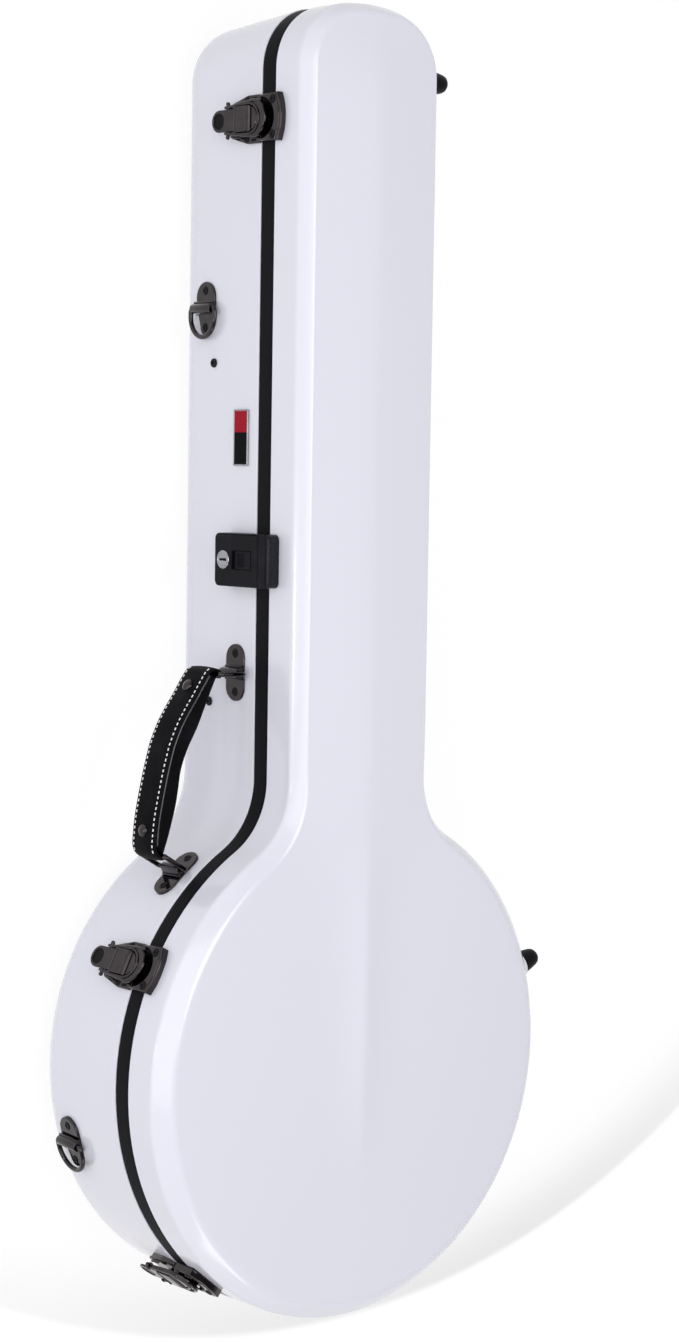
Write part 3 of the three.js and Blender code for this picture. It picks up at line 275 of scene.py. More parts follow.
@dataclass(frozen=True)
class Rubber(Finish):
    """Matte black rubber with a fine moulded grain."""

    colour: Colour = (0.0055, 0.0055, 0.0075, 1.0)
    roughness: float = 0.52

    def paint(self, shader: Shader) -> None:
        """Builds the finish.

        Args:
            shader: The empty tree that it is built in.
        """
        grain = shader.noise(1500.0, 3.0, 0.6)
        dust = shader.between(shader.noise(60.0, 4.0, 0.65), 0.5, 0.85)
        shader.surface({
            "Base Color": shader.mix(dust, self.colour, shaded(self.colour, 1.6)),
            "Roughness": self.roughness + 0.12 * dust,
            "Specular IOR Level": 0.06,
            "Normal": shader.bump(grain, 0.00008, 0.6),
        })


@dataclass(frozen=True)
class Plated(Finish):
    """Plated metal: clouded tone, fine polishing lines and small dings."""

    colour: Colour = (0.054, 0.048, 0.051, 1.0)
    roughness: float = 0.08

    def paint(self, shader: Shader) -> None:
        """Builds the finish.

        Args:
            shader: The empty tree that it is built in.
        """
        cloud = shader.noise(120.0, 3.0)
        lines = shader.noise(2600.0, 2.0)
        dings = shader.between(shader.cells(420.0), 0.0, 0.16)
        shader.surface({
            "Base Color": shader.mix(cloud, shaded(self.colour, 0.75), shaded(self.colour, 1.3)),
            "Metallic": 1.0,
            "Roughness": self.roughness + 0.07 * cloud - 0.03 * dings,
            "Normal": shader.bump(lines * 0.3 + dings * 0.7, 0.00004, 0.4),
        })


@dataclass(frozen=True)
class Moulded(Finish):
    """Satin black plastic with a fine spark-eroded texture."""

    colour: Colour = (0.009, 0.009, 0.012, 1.0)
    roughness: float = 0.34
    shine: float = 0.06

    def paint(self, shader: Shader) -> None:
        """Builds the finish.

        Args:
            shader: The empty tree that it is built in.
        """
        grain = shader.noise(2200.0, 2.0, 0.6)
        rub = shader.between(shader.noise(70.0, 3.0), 0.45, 0.75)
        shader.surface({
            "Base Color": shader.mix(rub, self.colour, shaded(self.colour, 1.5)),
            "Roughness": self.roughness + 0.1 * grain - 0.06 * rub,
            "Specular IOR Level": self.shine,
            "Normal": shader.bump(grain, 0.00005, 0.5),
        })


@dataclass(frozen=True)
class Hide(Finish):
    """Leather: pebble grain in cells, creases, and a sheen where hands polish it."""

    colour: Colour = (0.0055, 0.005, 0.0065, 1.0)
    roughness: float = 0.4
    grain: float = 900.0
    relief: float = 0.00012
    shine: float = 0.03

    def paint(self, shader: Shader) -> None:
        """Builds the finish.

        Args:
            shader: The empty tree that it is built in.
        """
        pebbles = shader.cells(self.grain)
        creases = shader.noise(self.grain * 0.25, 4.0, 0.6)
        worn = shader.between(shader.noise(45.0, 3.0), 0.45, 0.8)
        tone = shader.mix(worn, self.colour, shaded(self.colour, 2.1))
        shader.surface({
            "Base Color": shader.mix(pebbles * 0.5, tone, shaded(self.colour, 0.5)),
            "Roughness": self.roughness - 0.1 * worn + 0.16 * creases,
            "Specular IOR Level": self.shine,
            "Normal": shader.bump(pebbles * 0.6 + creases * 0.8, self.relief, 0.7),
        })


@dataclass(frozen=True)
class Plush(Finish):
    """Short black plush: soft pile with brushed patches and a bluish sheen."""

    colour: Colour = (0.016, 0.015, 0.021, 1.0)

    def paint(self, shader: Shader) -> None:
        """Builds the finish.

        Args:
            shader: The empty tree that it is built in.
        """
        pile = shader.noise(1900.0, 3.0, 0.8)
        brushed = shader.between(shader.noise(26.0, 3.0, 0.6), 0.4, 0.7)
        tone = shader.mix(brushed, self.colour, shaded(self.colour, 2.4))
        shader.surface({
            "Base Color": shader.mix(pile, shaded(self.colour, 0.6), tone),
            "Roughness": 0.86 + 0.1 * pile,
            "Specular IOR Level": 0.15,
            "Sheen Weight": 0.45,
            "Sheen Roughness": 0.5,
            "Sheen Tint": (0.7, 0.68, 0.8, 1.0),
            "Normal": shader.bump(pile, 0.0007, 0.8),
        })


@dataclass(frozen=True)
class Thread(Finish):
    """Waxed white thread with a twisted lay."""

    colour: Colour = (0.95, 0.95, 0.94, 1.0)

    def paint(self, shader: Shader) -> None:
        """Builds the finish.

        Args:
            shader: The empty tree that it is built in.
        """
        twist = shader.noise(3200.0, 1.0)
        shader.surface({
            "Base Color": shader.mix(twist, shaded(self.colour, 0.8), self.colour),
            "Roughness": 0.55 + 0.2 * twist,
            "Normal": shader.bump(twist, 0.0001, 0.8),
        })


@dataclass(frozen=True)
class Enamel(Finish):
    """Glossy plate in two colours that meet at a line across the neck."""

    low: Colour = (0.005, 0.005, 0.006, 1.0)
    high: Colour = (0.36, 0.014, 0.028, 1.0)
    line: float = 0.5

    def paint(self, shader: Shader) -> None:
        """Builds the finish.

        Args:
            shader: The empty tree that it is built in.
        """
        place = shader.place()
        upper = shader.between(shader.part(place, "Y"), self.line - 0.0001, self.line + 0.0001)
        cloud = shader.noise(300.0, 2.0)
        shader.surface({
            "Base Color": shader.mix(upper, self.low, self.high),
            "Roughness": 0.14 + 0.08 * cloud,
            "Specular IOR Level": 0.02,
            "Normal": shader.bump(cloud, 0.00002, 0.5),
        })


WHITE_SHELL = GelCoat("white_gel_coat", "shell")
SEAL_RUBBER = Rubber("seal_rubber", "seal")
FOOT_RUBBER = Rubber("moulded_foot_rubber", "foot_rubber", roughness=0.42)
BLACK_NICKEL = Plated("black_nickel", "hardware")
# Near-black nickel that paints shade into screw countersinks, latch slots, the thumb dish, the
# keeper's recess and the key slit.
PAINTED_SHADE_NICKEL = Plated("painted_shade_nickel", "hardware", (0.008, 0.008, 0.008, 1.0), 0.35)
BRIGHT_STEEL = Plated("bright_steel", "steel", (0.33, 0.33, 0.35, 1.0), 0.24)
LOCK_PLASTIC = Moulded("satin_lock_plastic", "lock_plastic")
KEEPER_PLASTIC = Moulded("keeper_plastic", "lock_plastic", (0.008, 0.008, 0.011, 1.0), 0.26, 0.2)
SCREW_BLACK = Moulded("blackened_screw", "screw_black", roughness=0.24, shine=0.12)
STRAP_HIDE = Hide("strap_leather", "handle_leather")
EDGE_HIDE = Hide(
    "painted_leather_edge", "handle_leather", roughness=0.14, relief=0.00003, shine=1.0
)
TAB_HIDE = Hide("pull_tab_leather", "tab_leather", roughness=0.5)
BLACK_PLUSH = Plush("black_plush", "lining")
WHITE_THREAD = Thread("white_thread", "handle_leather")
BADGE_ENAMEL = Enamel("badge_enamel", "enamel", line=0.4981)


# Shapes in the plane


def arc(centre: Point, radius: float, start: float, end: float, steps: int) -> Loop:
    """Points along an arc, both ends included.

    Args:
        centre: The arc's centre.
        radius: Its radius.
        start: Angle of the first point, in radians.
        end: Angle of the last point.
        steps: Number of chords.

    Returns:
        The points in order.
    """
    turns = [start + (end - start) * i / steps for i in range(steps + 1)]
    return [(centre[0] + radius * math.cos(t), centre[1] + radius * math.sin(t)) for t in turns]


def circle(centre: Point, radius: float, steps: int = 32) -> Loop:
    """A closed round loop."""
    return arc(centre, radius, 0.0, 2 * math.pi, steps)[:-1]


def filleted(corners: Sequence[Corner], steps: int = 6, closed: bool = True) -> Loop:
    """A polygon with round corners.

    Args:
        corners: Corner points and the radius at each.
        steps: Chords in each round corner.
        closed: Whether the last corner joins the first.

    Returns:
        The points in order.
    """
    count = len(corners)
    points: Loop = []
    for i, (x, y, radius) in enumerate(corners):
        at_end = not closed and i in (0, count - 1)
        if radius <= 0 or at_end:
            points.append((x, y))
            continue
        here = Vector((x, y))
        back = Vector(corners[i - 1][:2]) - here
        ahead = Vector(corners[(i + 1) % count][:2]) - here
        reach = 0.5 * back.angle(ahead)
        cut = min(radius / math.tan(reach), 0.499 * back.length, 0.499 * ahead.length)
        fitted = cut * math.tan(reach)
        back.normalize()
        ahead.normalize()
        middle = here + (back + ahead).normalized() * (fitted / math.sin(reach))
        first = here + back * cut - middle
        last = here + ahead * cut - middle
        turn = first.angle_signed(last, 0.0)
        for k in range(steps + 1):
            ray = first.copy()
            ray.rotate(Matrix.Rotation(-turn * k / steps, 2))
            points.append(tuple(middle + ray))
    return points


def slab(half: float, low: float, high: float, low_round: float, high_round: float,
         steps: int = 6) -> Loop:
    """A rectangle about the middle line, with round corners.

    Args:
        half: Half its width.
        low: Its lower side.
        high: Its upper side.
        low_round: Radius of both lower corners.
        high_round: Radius of both upper corners.
        steps: Chords in each round corner.

    Returns:
        The points in order.
    """
    lower = [(-half, low, low_round), (half, low, low_round)]
    return filleted([*lower, (half, high, high_round), (-half, high, high_round)], steps)


def both_sides(corners: Sequence[Corner]) -> list[Corner]:
    """Corners of the left side, then the same corners mirrored in the middle line."""
    return [*corners, *((-x, y, radius) for x, y, radius in reversed(corners))]


def on_side(corners: Sequence[Corner], sign: int) -> list[Corner]:
    """The corners, mirrored in the middle line where the sign is negative."""
    return [(sign * x, y, radius) for x, y, radius in corners]


def area(loop: Loop) -> float:
    """Signed area, positive for a loop that runs anticlockwise."""
    pairs = zip(loop, loop[1:] + loop[:1])
    return 0.5 * sum(a[0] * b[1] - b[0] * a[1] for a, b in pairs)


def inset(loop: Loop, distance: float) -> Loop:
    """The loop moved inwards by a distance.

    Args:
        loop: An anticlockwise loop.
        distance: How far it moves in; a negative distance moves it out.

    Returns:
        As many points as the loop has.
    """
    if distance == 0:
        return list(loop)
    moved: Loop = []
    for i, point in enumerate(loop):
        here = Vector(point)
        back = (here - Vector(loop[i - 1])).normalized()
        ahead = (Vector(loop[(i + 1) % len(loop)]) - here).normalized()
        left = Vector((-back.y, back.x))
        right = Vector((-ahead.y, ahead.x))
        lean = max(1.0 + left.dot(right), 0.4)
        moved.append(tuple(here + (left + right) * (distance / lean)))
    return moved


def smooth_run(knots: Sequence[Sequence[float]], pieces: int) -> list[Vector]:
    """A smooth run through knots of any size.

    Args:
        knots: The values that the run passes through.
        pieces: Steps between two knots.

    Returns:
        The values along the run, the first and last knot included.
    """
    points = [Vector(knot) for knot in knots]
    padded = [2 * points[0] - points[1], *points, 2 * points[-1] - points[-2]]
    run: list[Vector] = []
    for a, b, c, d in zip(padded, padded[1:], padded[2:], padded[3:]):
        for k in range(pieces):
            t = k / pieces
            run.append(0.5 * (2 * b + (c - a) * t + (2 * a - 5 * b + 4 * c - d) * t**2
                              + (3 * b - a - 3 * c + d) * t**3))
    return [*run, points[-1]]


# Forms: closed bodies that become one object


class Axis(Enum):
    """The local axis that an outline is drawn out along."""

    X = "x"
    Y = "y"
    Z = "z"

    def lift(self, a: float, b: float, t: float) -> Vector:
        """Puts a point of the outline at a height along the axis.

        Args:
            a: The point's first number.
            b: Its second number.
            t: The height.

        Returns:
            The point in space.
        """
        if self is Axis.X:
            return Vector((t, a, b))
        if self is Axis.Y:
            return Vector((a, t, b))
        return Vector((a, b, t))

    @property
    def unit(self) -> Vector:
        """The axis's direction."""
        return self.lift(0.0, 0.0, 1.0)


class Form:
    """Gathers closed bodies in a place's own axes and makes one object of them."""

    sharp_turn = math.radians(34)
    edge_steps = 3
    hole_edge = 0.35
    least_radius = 0.01

    def __init__(self, name: str, place: Optional[Matrix] = None) -> None:
        """Starts an empty form.

        Args:
            name: The piece's name.
            place: Turns the form's own axes into the frame's, in millimetres.
        """
        self.name = name
        self.place = place or Matrix()
        self.mesh = bmesh.new()
        self.finishes: list[Finish] = []
        self.current = 0
        self.creases: list[tuple[bmesh.types.BMVert, bmesh.types.BMVert]] = []

    def use(self, finish: Finish) -> "Form":
        """Gives a finish to the bodies that follow.

        Args:
            finish: The finish.

        Returns:
            The form.
        """
        if finish not in self.finishes:
            self.finishes.append(finish)
        self.current = self.finishes.index(finish)
        return self

    def vertex(self, point: Vector) -> bmesh.types.BMVert:
        """Adds a point of the form's own axes."""
        return self.mesh.verts.new((self.place @ Vector(point)) * MM)

    def face(self, corners: Sequence[bmesh.types.BMVert]) -> None:
        """Adds a face, leaving out corners that coincide.

        Args:
            corners: The face's points in order.
        """
        kept = [v for i, v in enumerate(corners) if v is not corners[i - 1]]
        if len(kept) > 2:
            made = self.mesh.faces.new(kept)
            made.material_index = self.current
            made.smooth = True

    def skin(self, rings: Sequence[Sequence[bmesh.types.BMVert]], loop: bool = False) -> None:
        """Joins closed rings of points with a skin.

        Args:
            rings: Rings with as many points each.
            loop: Whether the last ring joins the first.
        """
        last = len(rings) if loop else len(rings) - 1
        for k in range(last):
            low, high = rings[k], rings[(k + 1) % len(rings)]
            for i in range(len(low)):
                j = (i + 1) % len(low)
                self.face([low[i], low[j], high[j], high[i]])

    def lid(self, loops: Sequence[Sequence[bmesh.types.BMVert]], flats: Sequence[Loop]) -> None:
        """Closes a loop with a flat face, with the further loops as holes in it.

        Args:
            loops: The points of each loop.
            flats: The same loops in the plane.
        """
        verts = [vert for loop in loops for vert in loop]
        for tri in tessellate_polygon([[Vector((*p, 0.0)) for p in flat] for flat in flats]):
            self.face([verts[i] for i in tri])
        for loop in loops:
            self.creases.extend(zip(loop, [*loop[1:], loop[0]]))

    def levels(self, low: float, high: float, low_edge: float, edge: float) -> list[Point]:
        """Heights and insets of an outline drawn out with rounded rims.

        Args:
            low: Where it starts.
            high: Where it ends.
            low_edge: Radius of the bottom rim.
            edge: Radius of the top rim.

        Returns:
            Pairs of height and inset, from low to high.
        """
        rows = []
        steps = self.edge_steps
        if low_edge:
            for k in range(steps, 0, -1):
                turn = QUARTER * k / steps
                depth = low_edge * (1 - math.cos(turn))
                rows.append((low + low_edge * (1 - math.sin(turn)), depth))
            rows[0] = (low, low_edge)
            rows.append((low + low_edge, 0.0))
        else:
            rows.append((low, 0.0))
        if edge:
            for k in range(steps + 1):
                turn = QUARTER * k / steps
                rows.append((high - edge * (1 - math.sin(turn)), edge * (1 - math.cos(turn))))
        else:
            rows.append((high, 0.0))
        return rows

    def prism(
        self,
        outline: Loop,
        axis: Axis,
        low: float,
        high: float,
        edge: float = 0.5,
        low_edge: float = 0.0,
        holes: Sequence[tuple[Loop, float]] = (),
    ) -> None:
        """Draws an outline out along an axis, with rounded rims and blind holes in its top.

        Args:
            outline: The outline in the other two axes.
            axis: The axis that it is drawn along.
            low: Where it starts.
            high: Where it ends.
            edge: Radius of the top rim.
            low_edge: Radius of the bottom rim.
            holes: Outlines and depths of holes in the top.
        """
        loop = outline if area(outline) > 0 else outline[::-1]
        rings, flats = [], []
        for height, depth in self.levels(low, high, low_edge, edge):
            flat = inset(loop, depth)
            flats.append(flat)
            rings.append([self.vertex(axis.lift(a, b, height)) for a, b in flat])
        self.skin(rings)
        self.lid([rings[0]], [flats[0]])
        tops, top_flats = [rings[-1]], [flats[-1]]
        for hole, depth in holes:
            rim = hole if area(hole) > 0 else hole[::-1]
            soft = min(edge, self.hole_edge)
            walls = []
            for height, out in ((high, soft), (high - soft, 0.0), (high - depth, 0.0)):
                flat = inset(rim, -out)
                walls.append([self.vertex(axis.lift(a, b, height)) for a, b in flat])
                if out:
                    top_flats.append(flat)
            tops.append(walls[0])
            self.skin(walls)
            self.lid([walls[-1]], [rim])
        self.lid(tops, top_flats)

    def turned(self, profile: Sequence[Point], centre: Vector, axis: Axis, steps: int) -> None:
        """Turns a profile round an axis.

        Args:
            profile: Points as (radius, height).
            centre: Where the axis passes.
            axis: Its direction.
            steps: Chords in a turn.
        """
        rings = []
        for radius, height in profile:
            flat = circle((0.0, 0.0), max(radius, self.least_radius), steps)
            rings.append([self.vertex(Vector(centre) + axis.lift(a, b, height)) for a, b in flat])
        self.skin(rings)
        for ring, (radius, _) in ((rings[0], profile[0]), (rings[-1], profile[-1])):
            self.lid([ring], [circle((0.0, 0.0), max(radius, self.least_radius), steps)])

    def sweep(self, path: Sequence[Vector], upright: Axis, profile: Loop, closed: bool = False
              ) -> None:
        """Draws a closed profile along a plane path.

        Args:
            path: Points of the path.
            upright: The axis square to the path's plane.
            profile: Points as (sideways, upright).
            closed: Whether the path's end joins its start.
        """
        count = len(path)
        up = upright.unit
        rings = []
        for i, point in enumerate(path):
            before = path[i - 1] if closed or i else path[0]
            after = path[(i + 1) % count] if closed or i < count - 1 else path[-1]
            side = (after - before).normalized().cross(up).normalized()
            rings.append([self.vertex(point + side * a + up * b) for a, b in profile])
        self.skin(rings, closed)
        if not closed:
            self.lid([rings[0]], [profile])
            self.lid([rings[-1]], [profile])

    def wire(self, path: Sequence[Vector], upright: Axis, radius: float) -> None:
        """Draws a closed loop of round wire along a plane path."""
        self.sweep(path, upright, circle((0.0, 0.0), radius, 16), closed=True)

    def ball(self, centre: Vector, radius: float) -> None:
        """Adds a ball.

        Args:
            centre: Its middle.
            radius: Its radius.
        """
        turns = [-QUARTER + math.pi * i / 12 for i in range(13)]
        profile = [(radius * math.cos(t), radius * math.sin(t)) for t in turns]
        self.turned(profile, centre, Axis.X, 18)

    def screw(self, height: float, a: float, b: float, radius: float = 3.1) -> None:
        """Adds a countersunk head with a cross recess, facing +X, in a ring of painted shade.

        Args:
            height: The face that the head sits in.
            a: Its place along Y.
            b: Its place along Z.
            radius: The head's radius.
        """
        arm, tip = 0.17 * radius, 0.62 * radius
        cross = [(arm, tip), (-arm, tip), (-arm, arm), (-tip, arm), (-tip, -arm), (-arm, -arm),
                 (-arm, -tip), (arm, -tip), (arm, -arm), (tip, -arm), (tip, arm), (arm, arm)]
        moved = [(a + y, b + z) for y, z in cross]
        kept = self.current
        # A near-black ring under the head is painted shade in the countersink.
        self.use(PAINTED_SHADE_NICKEL)
        self.prism(circle((a, b), radius + 0.55), Axis.X, height - 0.6, height + 0.12, 0.1)
        self.use(SCREW_BLACK)
        head = circle((a, b), radius)
        self.prism(head, Axis.X, height - 1.0, height + 0.75, 0.45, holes=[(moved, 0.9)])
        self.current = kept

    def build(self, body: str, replaces: Sequence[str] = ()) -> bpy.types.Object:
        """Makes the object, dresses it and hangs it on its body.

        Args:
            body: The frame's body that it rides on.
            replaces: The frame's nodes that it stands for.

        Returns:
            The object.
        """
        bmesh.ops.recalc_face_normals(self.mesh, faces=self.mesh.faces)
        for edge in self.mesh.edges:
            flat = len(edge.link_faces) != 2
            edge.smooth = not flat and edge.calc_face_angle(0.0) < self.sharp_turn
        for first, second in self.creases:
            edge = self.mesh.edges.get((first, second))
            if edge is not None:
                edge.smooth = False
        data = bpy.data.meshes.new(self.name)
        self.mesh.to_mesh(data)
        self.mesh.free()
        for finish in self.finishes:
            data.materials.append(finish.material())
        piece = bpy.data.objects.new(self.name, data)
        bpy.context.scene.collection.objects.link(piece)
        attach(piece, body)
        if replaces:
            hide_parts(*replaces)
        LOG.info("%s: %d faces on %s", self.name, len(data.polygons), body)
        return piece


# Outline and section of the case


@dataclass(frozen=True)
class EdgePoint:
    """A point of the outline and the direction that leads straight into the case."""

    x: float
    y: float
    in_x: float
    in_y: float


Inset = Union[float, Callable[[EdgePoint], float]]


def level(share: float, x: float, y: float) -> float:
    """No rise, for a flat cap."""
    return 0.0


@dataclass
class CaseBody:
    """The case's outline at the rim and its section, which the shells and lining share."""

    body_radius: float = 202.0
    neck_end: float = 828.0
    neck_half: float = 69.5
    corner_radius: float = 51.5
    end_radius: float = 160.0
    shoulder_radius: float = 61.5
    depth: float = 117.3
    draft: float = math.radians(4.6)
    back_edge: float = 36.0
    seal_height: float = 16.3
    lid_wall: float = 26.7
    bevel_height: float = 12.6
    bevel_neck: float = 7.1
    bevel_body: float = 13.0
    crown: float = 4.5
    crest: float = 6.0
    ridge_pinch: float = 2.5
    ridge_foot: Point = (-0.65, 0.3)
    wall: float = 4.0
    steps: tuple[int, int, int, int, int, int] = (8, 22, 44, 18, 26, 40)
    side: list[EdgePoint] = field(default_factory=list)

    def __post_init__(self) -> None:
        """Works out one side of the outline, from the neck's end to the foot of the body."""
        end_n, corner_n, neck_n, shoulder_n, upper_n, lower_n = self.steps
        corner_x, rise = self.corner
        end_y = self.neck_end - self.end_radius
        corner_y = end_y + rise
        corner_start = math.atan2(rise, corner_x)
        shoulder_x = self.neck_half + self.shoulder_radius
        shoulder_y = math.sqrt((self.body_radius + self.shoulder_radius) ** 2 - shoulder_x**2)
        turn = math.atan2(shoulder_y, shoulder_x)
        self._arc((0.0, end_y), self.end_radius, QUARTER, corner_start, end_n, -1)
        self._arc((corner_x, corner_y), self.corner_radius, corner_start, 0.0, corner_n, -1)
        for i in range(1, neck_n + 1):
            y = corner_y + (shoulder_y - corner_y) * i / neck_n
            self.side.append(EdgePoint(self.neck_half, y, -1.0, 0.0))
        shoulder = (shoulder_x, shoulder_y)
        self._arc(shoulder, self.shoulder_radius, math.pi, math.pi + turn, shoulder_n, 1)
        self._arc((0.0, 0.0), self.body_radius, turn, 0.0, upper_n, -1)
        self._arc((0.0, 0.0), self.body_radius, 0.0, -QUARTER, lower_n, -1)

    def _arc(self, centre: Point, radius: float, start: float, end: float, steps: int, inward: int
             ) -> None:
        """Adds an arc of the outline, without the point that it shares with the last one.

        Args:
            centre: The arc's centre.
            radius: Its radius.
            start: Angle of its first point.
            end: Angle of its last point.
            steps: Number of chords.
            inward: -1 where the case lies on the centre's side, else 1.
        """
        for i in range(0 if not self.side else 1, steps + 1):
            turn = start + (end - start) * i / steps
            x, y = math.cos(turn), math.sin(turn)
            at = (centre[0] + radius * x, centre[1] + radius * y)
            self.side.append(EdgePoint(*at, inward * x, inward * y))

    @property
    def corner(self) -> Point:
        """Middle of the neck's corner arc: its x, and its rise over the middle of the end's arc."""
        x = self.neck_half - self.corner_radius
        return x, math.sqrt((self.end_radius - self.corner_radius) ** 2 - x**2)

    @property
    def lid_foot(self) -> float:
        """Height of the lid's lower edge."""
        return self.depth + self.seal_height

    @property
    def lid_shoulder(self) -> float:
        """Height where the lid's bevel starts."""
        return self.lid_foot + self.lid_wall

    @property
    def lid_face(self) -> float:
        """Height of the lid's face beside its ridge."""
        return self.lid_shoulder + self.bevel_height

    def ring(self, depth: Inset, z: float) -> list[Vector]:
        """A closed ring round the case at one height.

        Args:
            depth: How far it is set in from the outline.
            z: Its height.

        Returns:
            The ring's points, down the right side and up the left.
        """
        right = []
        last = len(self.side) - 1
        for i, point in enumerate(self.side):
            inward = depth(point) if callable(depth) else depth
            x = 0.0 if i in (0, last) else point.x + point.in_x * inward
            right.append(Vector((x, point.y + point.in_y * inward, z)))
        left = [Vector((-p.x, p.y, p.z)) for p in right[-2:0:-1]]
        return right + left

    def bevel(self, point: EdgePoint) -> float:
        """Width of the lid's bevel, which grows from the neck to the body.

        Args:
            point: A point of the outline.

        Returns:
            The width there.
        """
        share = (point.y - self.neck_half) / (3 * self.neck_half)
        share = min(max(share, 0.0), 1.0)
        blend = 1 - share * share * (3 - 2 * share)
        return self.bevel_neck + (self.bevel_body - self.bevel_neck) * blend

    def back_section(self, depth: float, steps: int) -> list[Point]:
        """Section of the base's rounded back edge.

        Args:
            depth: How far inside the outer face it runs.
            steps: Number of chords.

        Returns:
            Insets and heights, from the back face up the wall.
        """
        touch = self.back_edge * (1 - math.sin(self.draft))
        centre = math.tan(self.draft) * (self.depth - touch) + self.back_edge * math.cos(self.draft)
        radius = self.back_edge - depth
        rows = []
        for i in range(steps + 1):
            turn = 3 * QUARTER + (math.pi + self.draft - 3 * QUARTER) * i / steps
            inward, height = radius * math.cos(turn), radius * math.sin(turn)
            rows.append((centre + inward, self.back_edge + height))
        return rows

    def ridge(self, share: float, x: float, y: float) -> float:
        """Height of the lid's soft ridge over its face.

        Args:
            share: Place across the face, from -1 to 1.
            x: Half the face's width there.
            y: Place along the case.

        Returns:
            The rise.
        """
        soft = self.crest / x
        away = 1 - (math.hypot(share, soft) - soft) / (math.hypot(1, soft) - soft)
        power = max(x / (self.neck_half - self.bevel_neck), 1.0) ** self.ridge_pinch
        end = min(max((self.neck_end - y) / self.neck_half, 0.0), 1.0)
        low, high = (share * self.body_radius for share in self.ridge_foot)
        foot = min(max((y - low) / (high - low), 0.0), 1.0)
        fade = end * end * (3 - 2 * end) * foot * foot * (3 - 2 * foot)
        return self.crown * max(away, 0.0) ** power * fade

    def cap(self, form: Form, ring: Sequence[bmesh.types.BMVert], shares: Sequence[float],
            rise: Callable[[float, float, float], float] = level) -> None:
        """Closes a ring with rows that run from its right side to its left side.

        Args:
            form: The form that the ring belongs to.
            ring: The ring's points.
            shares: Places across a row, from near 1 to near -1, the ends left out.
            rise: Height over the ring at a share, half width and y.
        """
        count = len(self.side)
        rows = []
        inverse = form.place.inverted()
        for i in range(count):
            first = ring[i]
            if i in (0, count - 1):
                rows.append([first] * (len(shares) + 2))
                continue
            x, y, z = inverse @ (first.co / MM)
            inner = [form.vertex(Vector((x * s, y, z + rise(s, x, y)))) for s in shares]
            rows.append([first, *inner, ring[-i]])
        for one, two in zip(rows, rows[1:]):
            for j in range(len(shares) + 1):
                form.face([one[j], one[j + 1], two[j + 1], two[j]])

    def loft(self, form: Form, rows: Sequence[tuple[Inset, float]], loop: bool = False
             ) -> list[list[bmesh.types.BMVert]]:
        """Draws a skin through rings.

        Args:
            form: The form that takes the skin.
            rows: Inset and height of each ring.
            loop: Whether the last ring joins the first.

        Returns:
            The points of each ring.
        """
        rings = [[form.vertex(p) for p in self.ring(depth, z)] for depth, z in rows]
        form.skin(rings, loop)
        return rings

    def wall_place(self, y: Optional[float] = None, side: int = -1, angle: float = 0.0) -> Matrix:
        """A place on the wall at the rim: +X out of the case, +Z up, +Y along the wall.

        Args:
            y: Place along the neck, or None for a place on the round body.
            side: -1 for the handle's side of the neck, 1 for the hinge side.
            angle: Direction of a place on the round body, in degrees.

        Returns:
            The place's matrix, in millimetres.
        """
        if y is not None:
            turn = math.pi if side < 0 else 0.0
            at = (side * self.neck_half, y, self.depth)
            return Matrix.Translation(at) @ Matrix.Rotation(turn, 4, "Z")
        turn = math.radians(angle)
        at = (self.body_radius * math.cos(turn), self.body_radius * math.sin(turn), self.depth)
        return Matrix.Translation(at) @ Matrix.Rotation(turn, 4, "Z")

    def leaning(self, height: float, flip: bool = False) -> Matrix:
        """A place that leans with the drafted wall.

        Args:
            height: Its height over the rim, below zero on the wall.
            flip: Whether the place stands upside down.

        Returns:
            The place's matrix, seen from a place on the wall at the rim.
        """
        inward = math.tan(self.draft) * height
        place = Matrix.Translation((inward, 0.0, height)) @ Matrix.Rotation(self.draft, 4, "Y")
        return place @ Matrix.Rotation(math.pi, 4, "X") if flip else place


def spread(count: int, power: float = 1.0) -> list[float]:
    """Shares from near 1 to near -1, closer together in the middle."""
    ticks = [1 - 2 * i / (count + 1) for i in range(1, count + 1)]
    return [math.copysign(abs(t) ** power, t) for t in ticks]


# Sub-assemblies


